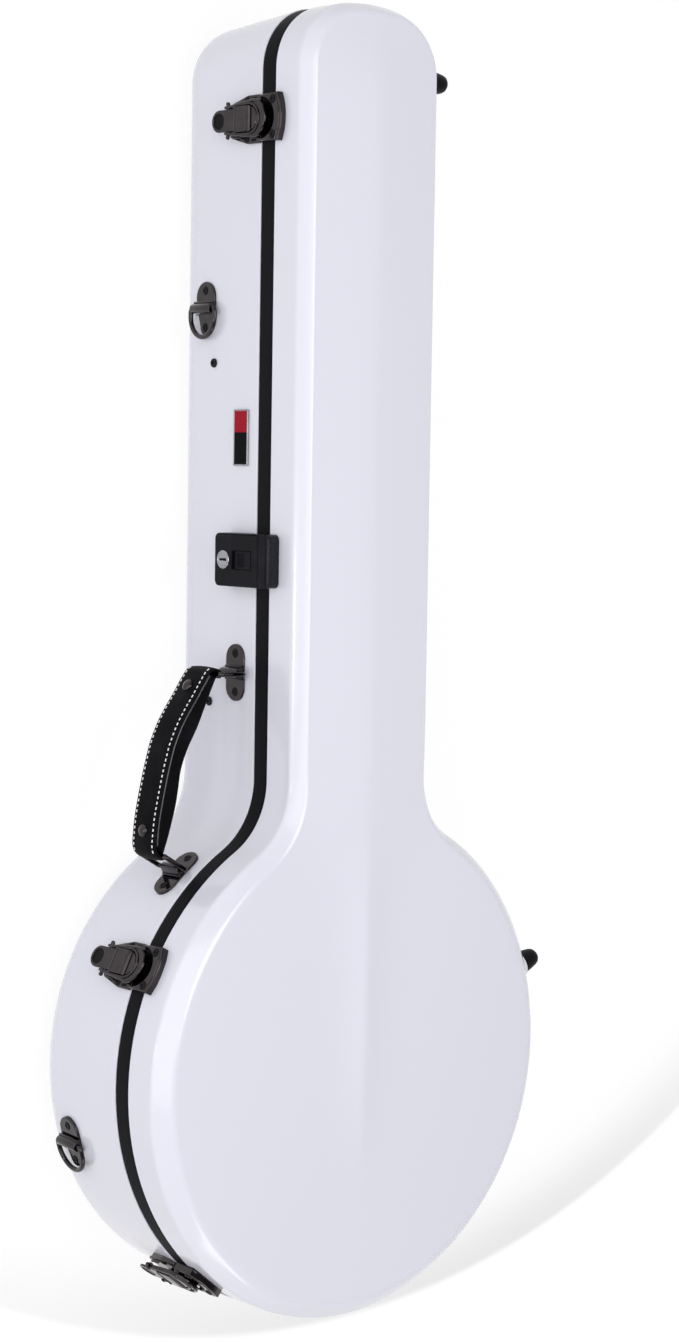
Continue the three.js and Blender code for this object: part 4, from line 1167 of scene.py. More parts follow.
@dataclass
class Shells:
    """Base shell, lid shell and the rubber seal between them."""

    case: CaseBody
    rim: float = 0.45
    seal_gap: float = 0.12
    seal_recess: float = 0.6
    seal_width: float = 6.0
    wall_rows: tuple[float, ...] = (50.0, 68.0, 86.0, 100.0, 110.0)
    bevel_rows: tuple[Point, ...] = (
        (0.0, -0.16), (0.006, -0.07), (0.025, 0.01), (0.06, 0.08), (0.11, 0.15), (0.17, 0.22),
        (0.74, 0.82), (0.84, 0.893), (0.95, 0.948), (1.06, 0.982), (1.18, 0.996), (1.3, 1.0),
    )
    hinge_bosses: Point = (19.5, 12.0)
    foot_boss: float = 12.0

    def base(self, hinges: Sequence["Hinge"]) -> None:
        """Builds the base shell with the pads that carry hinges and feet.

        Args:
            hinges: The hinges that stand on it.
        """
        case = self.case
        form = Form("base_gloss_shell").use(WHITE_SHELL)
        outer = case.back_section(0.0, 14)
        inner = case.back_section(case.wall, 8)[::-1]
        top, rim, thick = case.depth, self.rim, case.wall
        lean = math.tan(case.draft)
        walls = [(lean * (top - z), z) for z in (*self.wall_rows, top - 3 * rim, top - rim)]
        rows = [*outer, *walls, (0.3 * rim, top - 0.3 * rim), (rim, top), (thick - rim, top),
                (thick, top - rim), *inner]
        rings = case.loft(form, rows)
        case.cap(form, rings[0], spread(9))
        case.cap(form, rings[-1], spread(3))
        self._bosses(form, hinges, True)
        form.build("case_base", ["base_shell"])

    def lid(self, hinges: Sequence["Hinge"]) -> None:
        """Builds the lid shell, its bevel, its soft ridge and its pads.

        Args:
            hinges: The hinges that stand on it.
        """
        case = self.case
        form = Form("lid_gloss_shell").use(WHITE_SHELL)
        foot, shoulder, face = case.lid_foot, case.lid_shoulder, case.lid_face
        rim, thick = self.rim, case.wall
        rows: list[tuple[Inset, float]] = []
        for share, rise in reversed(self.bevel_rows):
            height = shoulder + case.bevel_height * rise
            rows.append((lambda p, s=share: case.bevel(p) * s, height))
        rows += [(0.0, foot + (shoulder - foot) * t) for t in (0.75, 0.5, 0.25)]
        rows += [(0.0, foot + 3 * rim), (0.0, foot + rim), (0.3 * rim, foot + 0.3 * rim),
                 (rim, foot), (thick - rim, foot), (thick, foot + rim),
                 (thick, shoulder - thick / 2), (lambda p: thick + case.bevel(p), face - thick)]
        rings = case.loft(form, rows)
        case.cap(form, rings[0], spread(37, 1.35), case.ridge)
        case.cap(form, rings[-1], spread(3))
        self._bosses(form, hinges, False)
        form.build("case_lid", ["lid_shell"])

    def _bosses(self, form: Form, hinges: Sequence["Hinge"], base: bool) -> None:
        """Adds the pads under the hinge leaves and the feet.

        Args:
            form: The shell's form.
            hinges: The hinges that stand on it.
            base: Whether the shell is the base.
        """
        case = self.case
        for hinge, depth in zip(hinges, self.hinge_bosses):
            form.place = hinge.place
            low, high = (-case.seal_height - 25, -case.seal_height) if base else (0.0, 18.0)
            pad = slab(hinge.half_length + 3, low, high, 4, 1.2)
            form.prism(pad, Axis.X, -depth, -4.8, 1.4)
        for place in FEET:
            form.place = place.wall(case)
            height, root = (place.base_height, -10.0) if base else (place.lid_height, -3.2)
            form.prism(circle((0.0, height), self.foot_boss, 40), Axis.X, root, 5.0, 1.2)
        form.place = Matrix()

    def seal(self) -> None:
        """Builds the black seal between the shells."""
        case = self.case
        low, high = case.depth + self.seal_gap, case.lid_foot - self.seal_gap
        out, back = self.seal_recess, self.seal_recess + self.seal_width
        rows = [(back, low), (out + 0.6, low), (out + 0.15, low + 0.2), (out, low + 0.7)]
        rows += [(out, low + (high - low) * t) for t in (0.3, 0.5, 0.7)]
        rows += [(out, high - 0.7), (out + 0.15, high - 0.2), (out + 0.6, high), (back, high)]
        form = Form("rubber_seal_band").use(SEAL_RUBBER)
        case.loft(form, rows, loop=True)
        form.build("case_base", ["seal_ring"])


@dataclass(frozen=True)
class FootPlace:
    """Where a pair of feet stands: on the neck's end or on the round body."""

    name: str
    neck_y: Optional[float]
    angle: float
    lid_height: float = 30.0
    base_height: float = -74.0

    def wall(self, case: CaseBody) -> Matrix:
        """The place on the wall that carries the pair."""
        return case.wall_place(self.neck_y, 1, self.angle)


FEET = (FootPlace("upper", 777.0, 0.0), FootPlace("lower", None, 15.7))


@dataclass
class Lining:
    """Plush lining of base and lid, and the neck's cradle and lidded pocket."""

    case: CaseBody
    gap: float = 0.3
    side: float = 17.0
    floor: float = 20.0
    lid_pad: float = 8.0
    lid_gap: float = 4.5
    cradle_start: float = 548.0
    cradle_length: float = 52.0
    cradle_height: float = 68.0
    notch_half: float = 29.0
    notch_depth: float = 26.0
    partition_y: float = 325.0
    partition_thick: float = 6.0
    partition_height: float = 36.0
    pocket_thick: float = 5.0

    def base(self) -> None:
        """Builds the base's lining with its rolled rim and piped edge."""
        case = self.case
        rim_in = (case.wall + self.gap) / math.cos(case.draft)
        hollow = rim_in + self.side
        top, floor = case.depth, case.wall + self.gap + self.floor
        form = Form("base_plush_lining").use(BLACK_PLUSH)
        rows: list[tuple[Inset, float]] = [*case.back_section(case.wall + self.gap, 6)]
        roll = filleted([(rim_in, top - 14, 0), (rim_in, top - 0.2, 5), (hollow, top - 0.2, 7),
                         (hollow, floor, 11), (hollow + 24, floor, 0)], 6, closed=False)
        rows += roll
        rings = case.loft(form, rows)
        case.cap(form, rings[0], spread(3))
        case.cap(form, rings[-1], spread(5))
        self._piping(form, hollow - 1.0, top - 5.0, 1.3)
        self._piping(form, hollow + 6.0, floor + 2.6, 1.3)
        piece = form.build("case_base", ["base_padding"])

    def _piping(self, form: Form, depth: float, z: float, radius: float) -> None:
        """Adds a roll of piping round the lining.

        Args:
            form: The lining's form.
            depth: How far inside the outline its middle runs.
            z: The height of its middle.
            radius: Its radius.
        """
        rows = [(depth + a, z + b) for a, b in circle((0.0, 0.0), radius, 8)]
        self.case.loft(form, rows, loop=True)

    def lid(self) -> None:
        """Builds the lid's lining."""
        case = self.case
        low, high = case.lid_foot + 0.5, case.lid_face - self.lid_gap
        shoulder = case.lid_shoulder
        out, inn = self.lid_gap, self.lid_gap + self.lid_pad
        form = Form("lid_plush_lining").use(BLACK_PLUSH)
        rows: list[tuple[Inset, float]] = [
            (lambda p: out + 0.5 + case.bevel(p), high),
            (out, shoulder - out), (out, low + 3), (out + 0.8, low + 0.8), (out + 3, low),
            (inn - 3, low), (inn - 0.8, low + 0.8), (inn, low + 3), (inn, shoulder - out - 6),
            (inn + 1.4, shoulder - out - 2.4),
            (lambda p: inn + case.bevel(p) * 0.6, high - self.lid_pad - 1.2),
            (lambda p: inn + case.bevel(p) + 3, high - self.lid_pad),
        ]
        rings = case.loft(form, rows)
        case.cap(form, rings[0], spread(3))
        case.cap(form, rings[-1], spread(5))
        self._piping(form, inn + 0.2, low + 3.4, 1.2)
        piece = form.build("case_lid", ["lid_padding"])

    def fittings(self) -> None:
        """Builds the neck's cradle, the pocket's wall, its lid and its pull tab."""
        case = self.case
        hollow = (case.wall + self.gap) / math.cos(case.draft) + self.side
        half = case.neck_half - hollow - 0.5
        floor = case.wall + self.gap + self.floor + self.gap
        top = floor + self.cradle_height
        notch, deep = self.notch_half, top - self.notch_depth
        saddle = both_sides(
            [(-half, floor, 0), (-half, top, 6), (-notch, top, 5), (-notch, deep, 20)]
        )
        form = Form("neck_cradle_plush").use(BLACK_PLUSH)
        start = self.cradle_start
        form.prism(filleted(saddle, 8), Axis.Y, start, start + self.cradle_length, 4.5, 4.5)
        form.build("case_base", ["neck_cradle"])
        wall_top = floor + self.partition_height
        start = self.partition_y
        board = filleted(both_sides([(-half, floor, 0), (-half, wall_top, 3)]))
        form = Form("pocket_wall_plush").use(BLACK_PLUSH)
        form.prism(board, Axis.Y, start, start + self.partition_thick, 2.2, 2.2)
        form.build("case_base", ["pocket_partition"])
        low = wall_top + self.gap
        high = low + self.pocket_thick
        half = case.neck_half - hollow - 4.5
        end = self.cradle_start - 0.5
        form = Form("pocket_lid_plush").use(BLACK_PLUSH)
        panel = filleted([(-half, start, 7), (half, start, 1), (half, end, 1), (-half, end, 7)])
        form.prism(panel, Axis.Z, low, high, 1.8, 1.8)
        form.build("pocket_lid", ["pocket_lid"])
        middle = (self.partition_y + self.cradle_start) / 2
        form = Form("pocket_pull_tab").use(TAB_HIDE)
        tab = filleted([(-half, middle - 8, 1.5), (-half + 24, middle - 8, 4),
                        (-half + 24, middle + 8, 4), (-half, middle + 8, 1.5)])
        form.prism(tab, Axis.Z, high + 0.3, high + 1.75, 0.5, 0.4)
        form.build("pocket_lid", ["pocket_lid_tab"])


@dataclass
class DrawLatch:
    """A draw latch: base plate, lever with its thumb tongue, hasp and keeper.

    Outlines lie in the wall's plane as (Y, Z) with a corner radius, measured from the rim. Spans
    run along X, out of the case.
    """

    name: str
    place: Matrix
    pin: Point = (7.5, -31.5)
    fulcrum: Point = (6.3, -7.3)
    plate_side: tuple[Corner, ...] = ((-18.5, 1.5, 2.2), (-18.5, -14, 6), (-12.5, -36, 4.5))
    root_side: tuple[Corner, ...] = ((-17.5, -1, 1), (-17.5, -14, 5), (-11.7, -35.3, 4))
    rail: tuple[Corner, ...] = (
        (11.4, -30.5, 0.5), (12.7, -30.5, 0.5), (14.6, -19.5, 0.5), (13.2, -19.5, 0.5),
    )
    slot: tuple[Corner, ...] = (
        (14.8, -3.2, 0.9), (16.8, -3.2, 0.9), (16.8, -9.6, 0.9), (14.8, -9.6, 0.9),
    )
    plate_face: float = 2.2
    plate_screw: Point = (14.0, -15.0)
    ear_radius: float = 2.4
    ear_span: Point = (6.6, 8.4)
    fulcrum_pin: tuple[Point, ...] = ((1.3, -8.8), (1.5, -8.6), (1.5, 8.6), (1.3, 8.8))
    cap_z: float = -5.5
    cap_radius: float = 9.6
    cap_foot: float = 2.4
    cap_root: tuple[Corner, ...] = ((-6, -3.1, 0), (-6, 1.5, 0.6))
    nose: float = 3.9
    arm_half: float = 6.2
    pad_half: float = 9.8
    pad_thick: float = 1.2
    pad_foot: float = -21.6
    pad_bars: tuple[Spot, ...] = ((-20.5, 0.02, 0.55), (-8.3, -0.3, 0.42))
    bar_half: float = 9.4
    lip: tuple[Corner, ...] = (
        (9.8, -21.2, 0.3), (9.8, -7.9, 0.3), (9.0, -7.9, 0.3), (9.0, -21.2, 0.3),
    )
    tongue_half: float = 8.6
    tongue_top: float = -23.0
    tongue_tip: float = -49.3
    dish_radius: float = 6.3
    pin_radius: float = 1.5
    pin_half: float = 12.6
    ball_place: float = 12.8
    ball_radius: float = 1.7
    bend_z: float = -0.8
    hasp_radii: Point = (10.1, 14.8)
    hasp_span: Point = (5.8, 8.1)
    ridge_x: float = 8.05
    ridge_radii: Point = (11.4, 13.5)
    ridge_wires: Point = (1.25, 1.3)
    eye_radius: float = 3.0
    eye_span: Point = (8.95, 10.85)
    keeper_rim: tuple[Point, ...] = (
        (18.3, 24.6), (9.5, 27.6), (0.0, 28.6), (-9.5, 27.6), (-18.3, 24.6),
    )
    keeper_foot: Point = (17.5, 3.5)
    keeper_face: float = 5.2
    keeper_screw: Point = (13.3, 18.4)
    recess_z: float = 4.7
    recess_radius: float = 15.2

    def build(self) -> None:
        """Builds the latch's four pieces."""
        self.plate()
        self.lever()
        self.hasp()
        self.keeper()

    def form(self, piece: str) -> Form:
        """Starts a piece of this latch."""
        return Form(f"latch_{self.name}_{piece}_piece", self.place).use(BLACK_NICKEL)

    def finished(self, form: Form, body: str, piece: str) -> None:
        """Ends a piece of this latch, which stands for the node of the same name."""
        form.build(body, [f"latch_{self.name}_{piece}"])

    def plate(self) -> None:
        """Base plate with its rolled sides, ears, round cap and fulcrum pin."""
        form = self.form("plate")
        face = self.plate_face
        form.prism(filleted(both_sides(self.plate_side)), Axis.X, 0.3, face, 0.6)
        form.prism(filleted(both_sides(self.root_side)), Axis.X, -3.4, 0.6, 0.2)
        ear = [*arc(self.fulcrum, self.ear_radius, -QUARTER, math.radians(115), 18),
               (0.0, -9.0), (0.0, -9.7)]
        for sign in (-1, 1):
            form.prism(filleted(on_side(self.rail, sign), 3), Axis.X, 1.5, 4.4, 0.5)
            # The near-black slots in the plate are painted shade.
            form.use(PAINTED_SHADE_NICKEL)
            form.prism(filleted(on_side(self.slot, sign), 3), Axis.X, 1.5, face + 0.06, 0.1)
            form.use(BLACK_NICKEL)
            form.prism(ear, Axis.Y, *sorted(sign * end for end in self.ear_span), 0.4, 0.4)
            form.screw(face, sign * self.plate_screw[0], self.plate_screw[1])
        start = math.asin(self.cap_foot / self.cap_radius)
        rise = arc((0.0, self.cap_z), self.cap_radius, start, math.pi - start, 28)
        form.prism(rise, Axis.X, 2.9, 8.7, 1.3)
        form.prism(filleted(both_sides(self.cap_root)), Axis.X, 0.2, 3.4, 0.2)
        pivot = Vector((self.fulcrum[0], 0, self.fulcrum[1]))
        form.turned(self.fulcrum_pin, pivot, Axis.Y, 20)
        self.finished(form, "case_base", "plate")

    def lever(self) -> None:
        """Lever: arm, flat pad that curls over the fulcrum, thumb tongue and ball-ended pin."""
        form = self.form("lever")
        fx, fz = self.fulcrum
        outer_x = fx + self.nose
        arm = [(fx, fz + 2.6), (fx + 1.8, fz + 1.8), (outer_x - 0.5, fz), (outer_x - 0.5, -21.4),
               (8.0, -23.0), (8.0, -34.5), (7.0, -34.5), (4.4, -28.5), (4.4, fz - 2.6),
               (fx - 1.8, fz + 1.8)]
        form.prism(arm, Axis.Y, -self.arm_half, self.arm_half, 0.5, 0.5)
        curl = arc(self.fulcrum, self.nose, 0.0, QUARTER * 0.65, 8)
        back = arc(self.fulcrum, self.nose - self.pad_thick, QUARTER * 0.65, 0.0, 8)
        foot = [(outer_x - self.pad_thick, self.pad_foot), (outer_x, self.pad_foot)]
        form.prism([*foot, *curl, *back], Axis.Y, -self.pad_half, self.pad_half, 0.4, 0.4)
        for height, proud, radius in self.pad_bars:
            bar = circle((outer_x + proud, height), radius, 10)
            form.prism(bar, Axis.Y, -self.bar_half, self.bar_half, 0.3, 0.3)
        for sign in (-1, 1):
            form.prism(filleted(on_side(self.lip, sign), 2), Axis.X, 7.8, outer_x - 0.08, 0.3)
        self.tongue(form)
        px, pz = self.pin
        pin = [(self.pin_radius, -self.pin_half), (self.pin_radius, self.pin_half)]
        form.turned(pin, Vector((px, 0, pz)), Axis.Y, 18)
        for sign in (-1, 1):
            form.ball(Vector((px, sign * self.ball_place, pz)), self.ball_radius)
        self.finished(form, f"latch_{self.name}_lever", "lever")

    def tongue(self, form: Form) -> None:
        """Adds the thumb tongue with its dish and a crescent of painted shade in it.

        Args:
            form: The lever's form.
        """
        half = self.tongue_half
        tip_z = self.tongue_tip + half
        tongue = [(half, self.tongue_top), (-half, self.tongue_top),
                  *arc((0.0, tip_z), half, math.pi, 2 * math.pi, 30)]
        dish = arc((0.0, tip_z - 0.3), self.dish_radius, 0.0, 2 * math.pi, 30)[:-1]
        form.prism(tongue, Axis.X, 7.4, 8.4, 0.2, 0.4)
        form.prism(tongue, Axis.X, 8.2, 9.2, 0.5, holes=[(dish, 0.75)])
        # The crescent is a near-black patch of painted shade in the dish.
        crescent = [*arc((0.0, tip_z - 0.3), 6.1, 0.35, -math.pi - 0.35, 26),
                    *arc((0.0, tip_z + 3.4), 6.2, math.pi, 0.0, 16)[1:-1]]
        form.use(PAINTED_SHADE_NICKEL).prism(crescent, Axis.X, 8.3, 8.56, 0.05)
        form.use(BLACK_NICKEL)

    def hasp(self) -> None:
        """Hasp: a bent frame with two raised ridges that hug its opening and its outside."""
        form = self.form("hasp")
        pz = self.pin[1]
        inside, outside = self.hasp_radii
        outer = arc((0.0, self.bend_z), outside, 0.0, math.pi, 36)
        inner = [(-8.9, pz), (-8.9, -26.5), (-inside, -23.5),
                 *arc((0.0, self.cap_z), inside, math.pi, 0.0, 36),
                 (inside, -23.5), (8.9, -26.5), (8.9, pz)]
        frame = [(10.8, pz), *outer, (-10.8, pz), *inner]
        form.prism(frame, Axis.X, *self.hasp_span, 0.4, 0.4)
        hug_radius, wrap_radius = self.ridge_radii
        hug = [(9.75, -24.5), (11.0, -21.0), *arc((0.0, self.cap_z), hug_radius, 0.0, math.pi, 30),
               (-11.0, -21.0), (-9.75, -24.5)]
        wrap = [(10.2, pz + 2.5), *arc((0.0, self.bend_z), wrap_radius, 0.0, math.pi, 30),
                (-10.2, pz + 2.5)]
        for path, radius in zip((hug, wrap), self.ridge_wires):
            line = [Vector((self.ridge_x, y, z)) for y, z in path]
            form.sweep(line, Axis.X, [(a, b * 0.95) for a, b in circle((0, 0), radius, 12)])
        eye = circle(self.pin, self.eye_radius, 24)
        for sign in (-1, 1):
            form.prism(eye, Axis.Y, *sorted(sign * end for end in self.eye_span), 0.3, 0.3)
        self.finished(form, f"latch_{self.name}_hasp", "hasp")

    def keeper(self) -> None:
        """Keeper: bowed plate with a half-round recess darkened by painted shade, lip, raised band
        and screws.
        """
        form = self.form("keeper")
        rim = smooth_run(self.keeper_rim, 6)
        foot, foot_z = self.keeper_foot
        start = math.asin((foot_z - self.recess_z) / self.recess_radius)
        bay = arc((0.0, self.recess_z), self.recess_radius, math.pi - start, start, 34)
        outline = [(-foot, foot_z), *bay, (foot, foot_z), *(tuple(p) for p in rim)]
        form.prism(outline, Axis.X, -1.2, self.keeper_face, 0.8)
        # The recess's floor is a near-black patch of painted shade.
        form.use(PAINTED_SHADE_NICKEL)
        form.prism([(-16, foot_z), (16, foot_z), (16.5, 20), (-16.5, 20)], Axis.X, -1.2, 2.0, 0.2)
        form.use(BLACK_NICKEL)
        form.prism(slab(7, 6, 11.5, 1.5, 3), Axis.X, 1.6, 5.5, 0.8)
        band = [Vector((self.keeper_face - 0.1, p.x * 0.93, p.y - 3.0)) for p in rim]
        form.sweep(band, Axis.X, [(a, b * 0.9) for a, b in circle((0, 0), 0.6, 10)])
        for sign in (-1, 1):
            form.screw(self.keeper_face, sign * self.keeper_screw[0], self.keeper_screw[1])
        self.finished(form, "case_lid", "keeper")


def plate_fold(bar_x: float, radius: float, foot: Point, shoulder: float, lean: float) -> Loop:
    """Section of a plate's fold round a bar.

    Args:
        bar_x: How far the bar stands out.
        radius: The fold's outer radius.
        foot: Where the fold leaves the plate, as (X, Y).
        shoulder: Half its width at the plate's face.
        lean: Angle on both sides of the front that the round part takes.

    Returns:
        The points in order.
    """
    back, half = foot
    front = arc((bar_x, 0.0), radius, -lean, lean, 12)
    return [(back, -half), (2.2, -shoulder), *front, (2.2, shoulder), (back, half)]


@dataclass
class StrapHook:
    """A strap hook: clip with a folded loop, and the D-shaped ring that swings in it."""

    name: str
    place: Matrix
    head_half: float = 12.5
    foot_half: float = 7.0
    face: float = 2.0
    bar_x: float = 4.4
    fold_radius: float = 3.9
    fold_half: float = 13.4
    screw_places: Point = (14.0, -15.0)
    wire: float = 2.0
    ring_half: float = 16.6
    ring_corner: float = 3.0
    drop: float = 22.5

    def build(self) -> None:
        """Builds the clip and the ring."""
        self.clip()
        self.ring()

    def clip(self) -> None:
        """Builds the clip, its folded loop and its screws."""
        form = Form(f"strap_hook_{self.name}_clip", self.place).use(BLACK_NICKEL)
        head, foot = self.head_half, self.foot_half
        outline = [(-14.0, -foot), (-4.0, -10.0), (4.0, -head),
                   *arc((8.5, 0.0), head, -QUARTER, QUARTER, 26),
                   (4.0, head), (-4.0, 10.0), *arc((-14.0, 0.0), foot, QUARTER, 3 * QUARTER, 16)]
        form.prism(outline, Axis.X, -1.3, self.face, 0.6)
        fold = plate_fold(self.bar_x, self.fold_radius, (0.5, 5.4), 4.6, 1.2)
        form.prism(fold, Axis.Z, -self.fold_half, self.fold_half, 0.5, 0.5)
        form.prism(circle((3.6, 4.75), 0.8, 12), Axis.Z, -13.1, 13.1, 0.3, 0.3)
        for y in self.screw_places:
            form.screw(self.face, y, 0.0)
        form.build("case_base", [f"hook_{self.name}_clip"])

    def ring(self) -> None:
        """Builds the D-shaped ring."""
        form = Form(f"strap_hook_{self.name}_ring", self.place).use(BLACK_NICKEL)
        half, corner = self.ring_half, self.ring_corner
        loop = [*arc((-corner, half - corner), corner, 0.0, QUARTER, 6),
                *arc((half - self.drop, 0.0), half, QUARTER, 3 * QUARTER, 30),
                *arc((-corner, corner - half), corner, -QUARTER, 0.0, 6)]
        line = [Vector((self.bar_x, y, z)) for y, z in loop]
        form.wire(line, Axis.X, self.wire)
        form.build(f"hook_{self.name}_ring", [f"hook_{self.name}_ring"])


@dataclass(frozen=True)
class HandleEnd:
    """One end of the handle: its wall and the direction of its bail."""

    name: str
    wall: Matrix
    bail_angle: float


@dataclass
class Handle:
    """Stitched leather handle on two wire bails and two brackets."""

    case: CaseBody
    ends: tuple[HandleEnd, HandleEnd]
    height: float = -24.0
    rod_x: float = 6.0
    reach: float = 24.0
    bracket_half: float = 11.25
    fold_radius: float = 4.1
    fold_half: float = 10.4
    screw_place: float = 15.25
    wire: float = 2.0
    bail_half: float = 17.0
    bail_corner: float = 3.0
    width: float = 28.6
    core_width: float = 22.0
    arch: float = 24.3
    strap: float = 3.0
    swell: float = 0.9
    welts: tuple[tuple[float, float, float], ...] = ((3.1, 4.5, 25.8), (4.7, 6.2, 24.6))
    outer_shares: tuple[Point, ...] = (
        (0.014, -0.186), (-0.004, -0.176), (-0.026, -0.11), (-0.032, 0.05), (-0.024, 0.27),
        (0.004, 0.435), (0.045, 0.52), (0.078, 0.576), (0.156, 0.69), (0.235, 0.825),
        (0.329, 0.945), (0.42, 0.995), (0.472, 0.992), (0.598, 0.926), (0.716, 0.831),
        (0.825, 0.724), (0.911, 0.597), (0.976, 0.469), (1.009, 0.305), (1.024, 0.095),
        (1.024, -0.06), (1.016, -0.14), (1.002, -0.18), (0.984, -0.188),
    )
    inner_shares: tuple[Point, ...] = (
        (0.002, -0.13), (0.05, -0.09), (0.178, -0.03), (0.302, 0.03), (0.422, 0.15), (0.535, 0.165),
        (0.641, 0.04), (0.717, -0.045), (0.811, -0.1), (0.9, -0.13), (0.997, -0.14),
    )
    face_knots: tuple[int, int] = (5, 17)
    stud_knots: tuple[tuple[str, float], ...] = (("upper", 7.25), ("lower", 15.85))
    stud_dome: tuple[Point, ...] = (
        (5.0, -0.35), (5.0, 0.4), (4.7, 1.1), (4.0, 1.8), (3.0, 2.4), (1.6, 2.85), (0.4, 3.0),
    )
    stitch_pitch: float = 4.2
    stitch_inset: float = 2.9
    thread_radius: float = 0.62
    pieces: int = 6

    @property
    def middle(self) -> float:
        """Height of the handle's middle."""
        return self.case.depth + self.height

    def build(self) -> None:
        """Builds brackets, bails and grip."""
        bars = [self.end(end) for end in self.ends]
        self.grip(bars)

    def end(self, end: HandleEnd) -> Vector:
        """Builds one bracket and its bail.

        Args:
            end: The end of the handle.

        Returns:
            The middle of the bail's outer bar.
        """
        inward = math.tan(self.case.draft) * self.height
        stand = end.wall @ Matrix.Translation((inward, 0.0, self.height))
        self.bracket(end.name, stand)
        rail = (stand @ Vector((self.rod_x, 0.0, 0.0))).xy
        turn = math.radians(end.bail_angle)
        at = (rail.x, rail.y, self.middle)
        place = Matrix.Translation(at) @ Matrix.Rotation(turn, 4, "Z")
        bail = Form(f"handle_{end.name}_bail_wire", place).use(BLACK_NICKEL)
        half, far, corner = self.bail_half, self.reach, self.bail_corner
        loop = filleted([(0.0, -half, corner), (0.0, half, corner), (far, half, corner),
                         (far, -half, corner)], 8)
        bail.wire([Vector((x, 0.0, z)) for x, z in loop], Axis.Y, self.wire)
        bail.build(f"handle_{end.name}_bail", [f"handle_{end.name}_bail"])
        return rail + Vector((math.cos(turn), math.sin(turn))) * self.reach

    def bracket(self, name: str, stand: Matrix) -> None:
        """Builds a bracket with its fold and screws.

        Args:
            name: The end that it holds.
            stand: Its place on the wall.
        """
        form = Form(f"handle_{name}_bracket_plate", stand).use(BLACK_NICKEL)
        half = self.bracket_half
        outline = [*arc((half, 0.0), half, -QUARTER, QUARTER, 24),
                   *arc((-half, 0.0), half, QUARTER, 3 * QUARTER, 24)]
        form.prism(outline, Axis.X, -2.6, 2.0, 0.6)
        fold = plate_fold(self.rod_x, self.fold_radius, (-0.5, 5.6), 4.8, 1.15)
        form.prism(fold, Axis.Z, -self.fold_half, self.fold_half, 0.5, 0.5)
        for y in (-5.0, 5.0):
            form.prism(circle((3.4, y), 0.8, 12), Axis.Z, -10.0, 10.0, 0.3, 0.3)
        for sign in (-1, 1):
            form.screw(2.0, sign * self.screw_place, 0.0)
        form.build("case_base", [f"handle_{name}_bracket"])

    def run(self, bars: Sequence[Vector], shares: Sequence[Point]) -> list[Vector]:
        """A smooth run in plan, given as shares of the way between the bars and of the arch.

        Args:
            bars: The bars at the upper and the lower end.
            shares: Knots as shares along the chord and away from it.

        Returns:
            The points, from the upper to the lower end.
        """
        chord = bars[1] - bars[0]
        away = Vector((chord.y, -chord.x)).normalized() * self.arch
        knots = [bars[0] + chord * along + away * rise for along, rise in shares]
        return smooth_run(knots, self.pieces)

    def under(self, run: Sequence[Vector], depth: float) -> list[Vector]:
        """The run moved to a depth under the grip's outer face.

        Args:
            run: Points of the outer face in plan.
            depth: How far under them the new ones lie.

        Returns:
            As many points as the run has.
        """
        moved = []
        for i, point in enumerate(run):
            step = (run[min(i + 1, len(run) - 1)] - run[max(i - 1, 0)]).normalized()
            moved.append(point - Vector((step.y, -step.x)) * depth)
        return moved

    def grip(self, bars: Sequence[Vector]) -> None:
        """Builds the strap, the padded core and welts under it, its stitches and its studs.

        Args:
            bars: The outer bars of the two bails.
        """
        outer = self.run(bars, self.outer_shares)
        first, last = (knot * self.pieces for knot in self.face_knots)
        face = outer[first:last + 1]
        form = Form("handle_leather_grip").use(STRAP_HIDE)
        form.sharp_turn = math.radians(50)
        path = [Vector((*p, self.middle)) for p in self.under(outer, self.strap)]
        form.sweep(path, Axis.Z, self.strap_section())
        top, back = self.under(face, self.strap + 0.1), self.run(bars, self.inner_shares)
        self.layer(form, top, back, self.core_width, 3.2)
        form.use(EDGE_HIDE)
        for outside, inside, width in self.welts:
            self.layer(form, self.under(face, outside), self.under(face, inside), width, 0.6)
        form.use(WHITE_THREAD)
        self.stitches(form, self.under(outer[first - 4:last + 5], self.swell - 0.28))
        piece = form.build("handle_grip", ["handle_grip"])
        for name, knot in self.stud_knots:
            i = round(knot * self.pieces)
            step = (outer[i + 1] - outer[i - 1]).normalized()
            turn = math.atan2(-step.x, step.y)
            place = Matrix.Translation((*outer[i], self.middle)) @ Matrix.Rotation(turn, 4, "Z")
            stud = Form(f"handle_{name}_rivet", place).use(BLACK_NICKEL)
            stud.turned(self.stud_dome, Vector(), Axis.X, 30)
            stud.build("handle_grip", [f"handle_{name}_stud"])

    def layer(self, form: Form, top: Sequence[Vector], back: Sequence[Vector], width: float,
              edge: float) -> None:
        """Adds a layer of the grip between two runs.

        Args:
            form: The grip's form.
            top: Its outer face in plan.
            back: Its inner face in plan.
            width: How wide it is.
            edge: Radius of its edges.
        """
        outline = [*(tuple(p) for p in top), *(tuple(p) for p in reversed(back))]
        form.prism(outline, Axis.Z, self.middle - width / 2, self.middle + width / 2, edge, edge)

    def strap_section(self) -> Loop:
        """The strap's section: flat inside, softly swollen outside, eased edges.

        Returns:
            Points as (outwards, upright).
        """
        half, top = self.width / 2, self.strap - self.swell
        face = [(self.strap - self.swell * (k / 6) ** 2, half * k / 6) for k in range(-5, 6)]
        edge = [(0.0, half - 0.5), (0.3, half), (top - 0.8, half), (top - 0.2, half - 0.3)]
        return [*((x, -z) for x, z in edge), *face, *reversed(edge)]

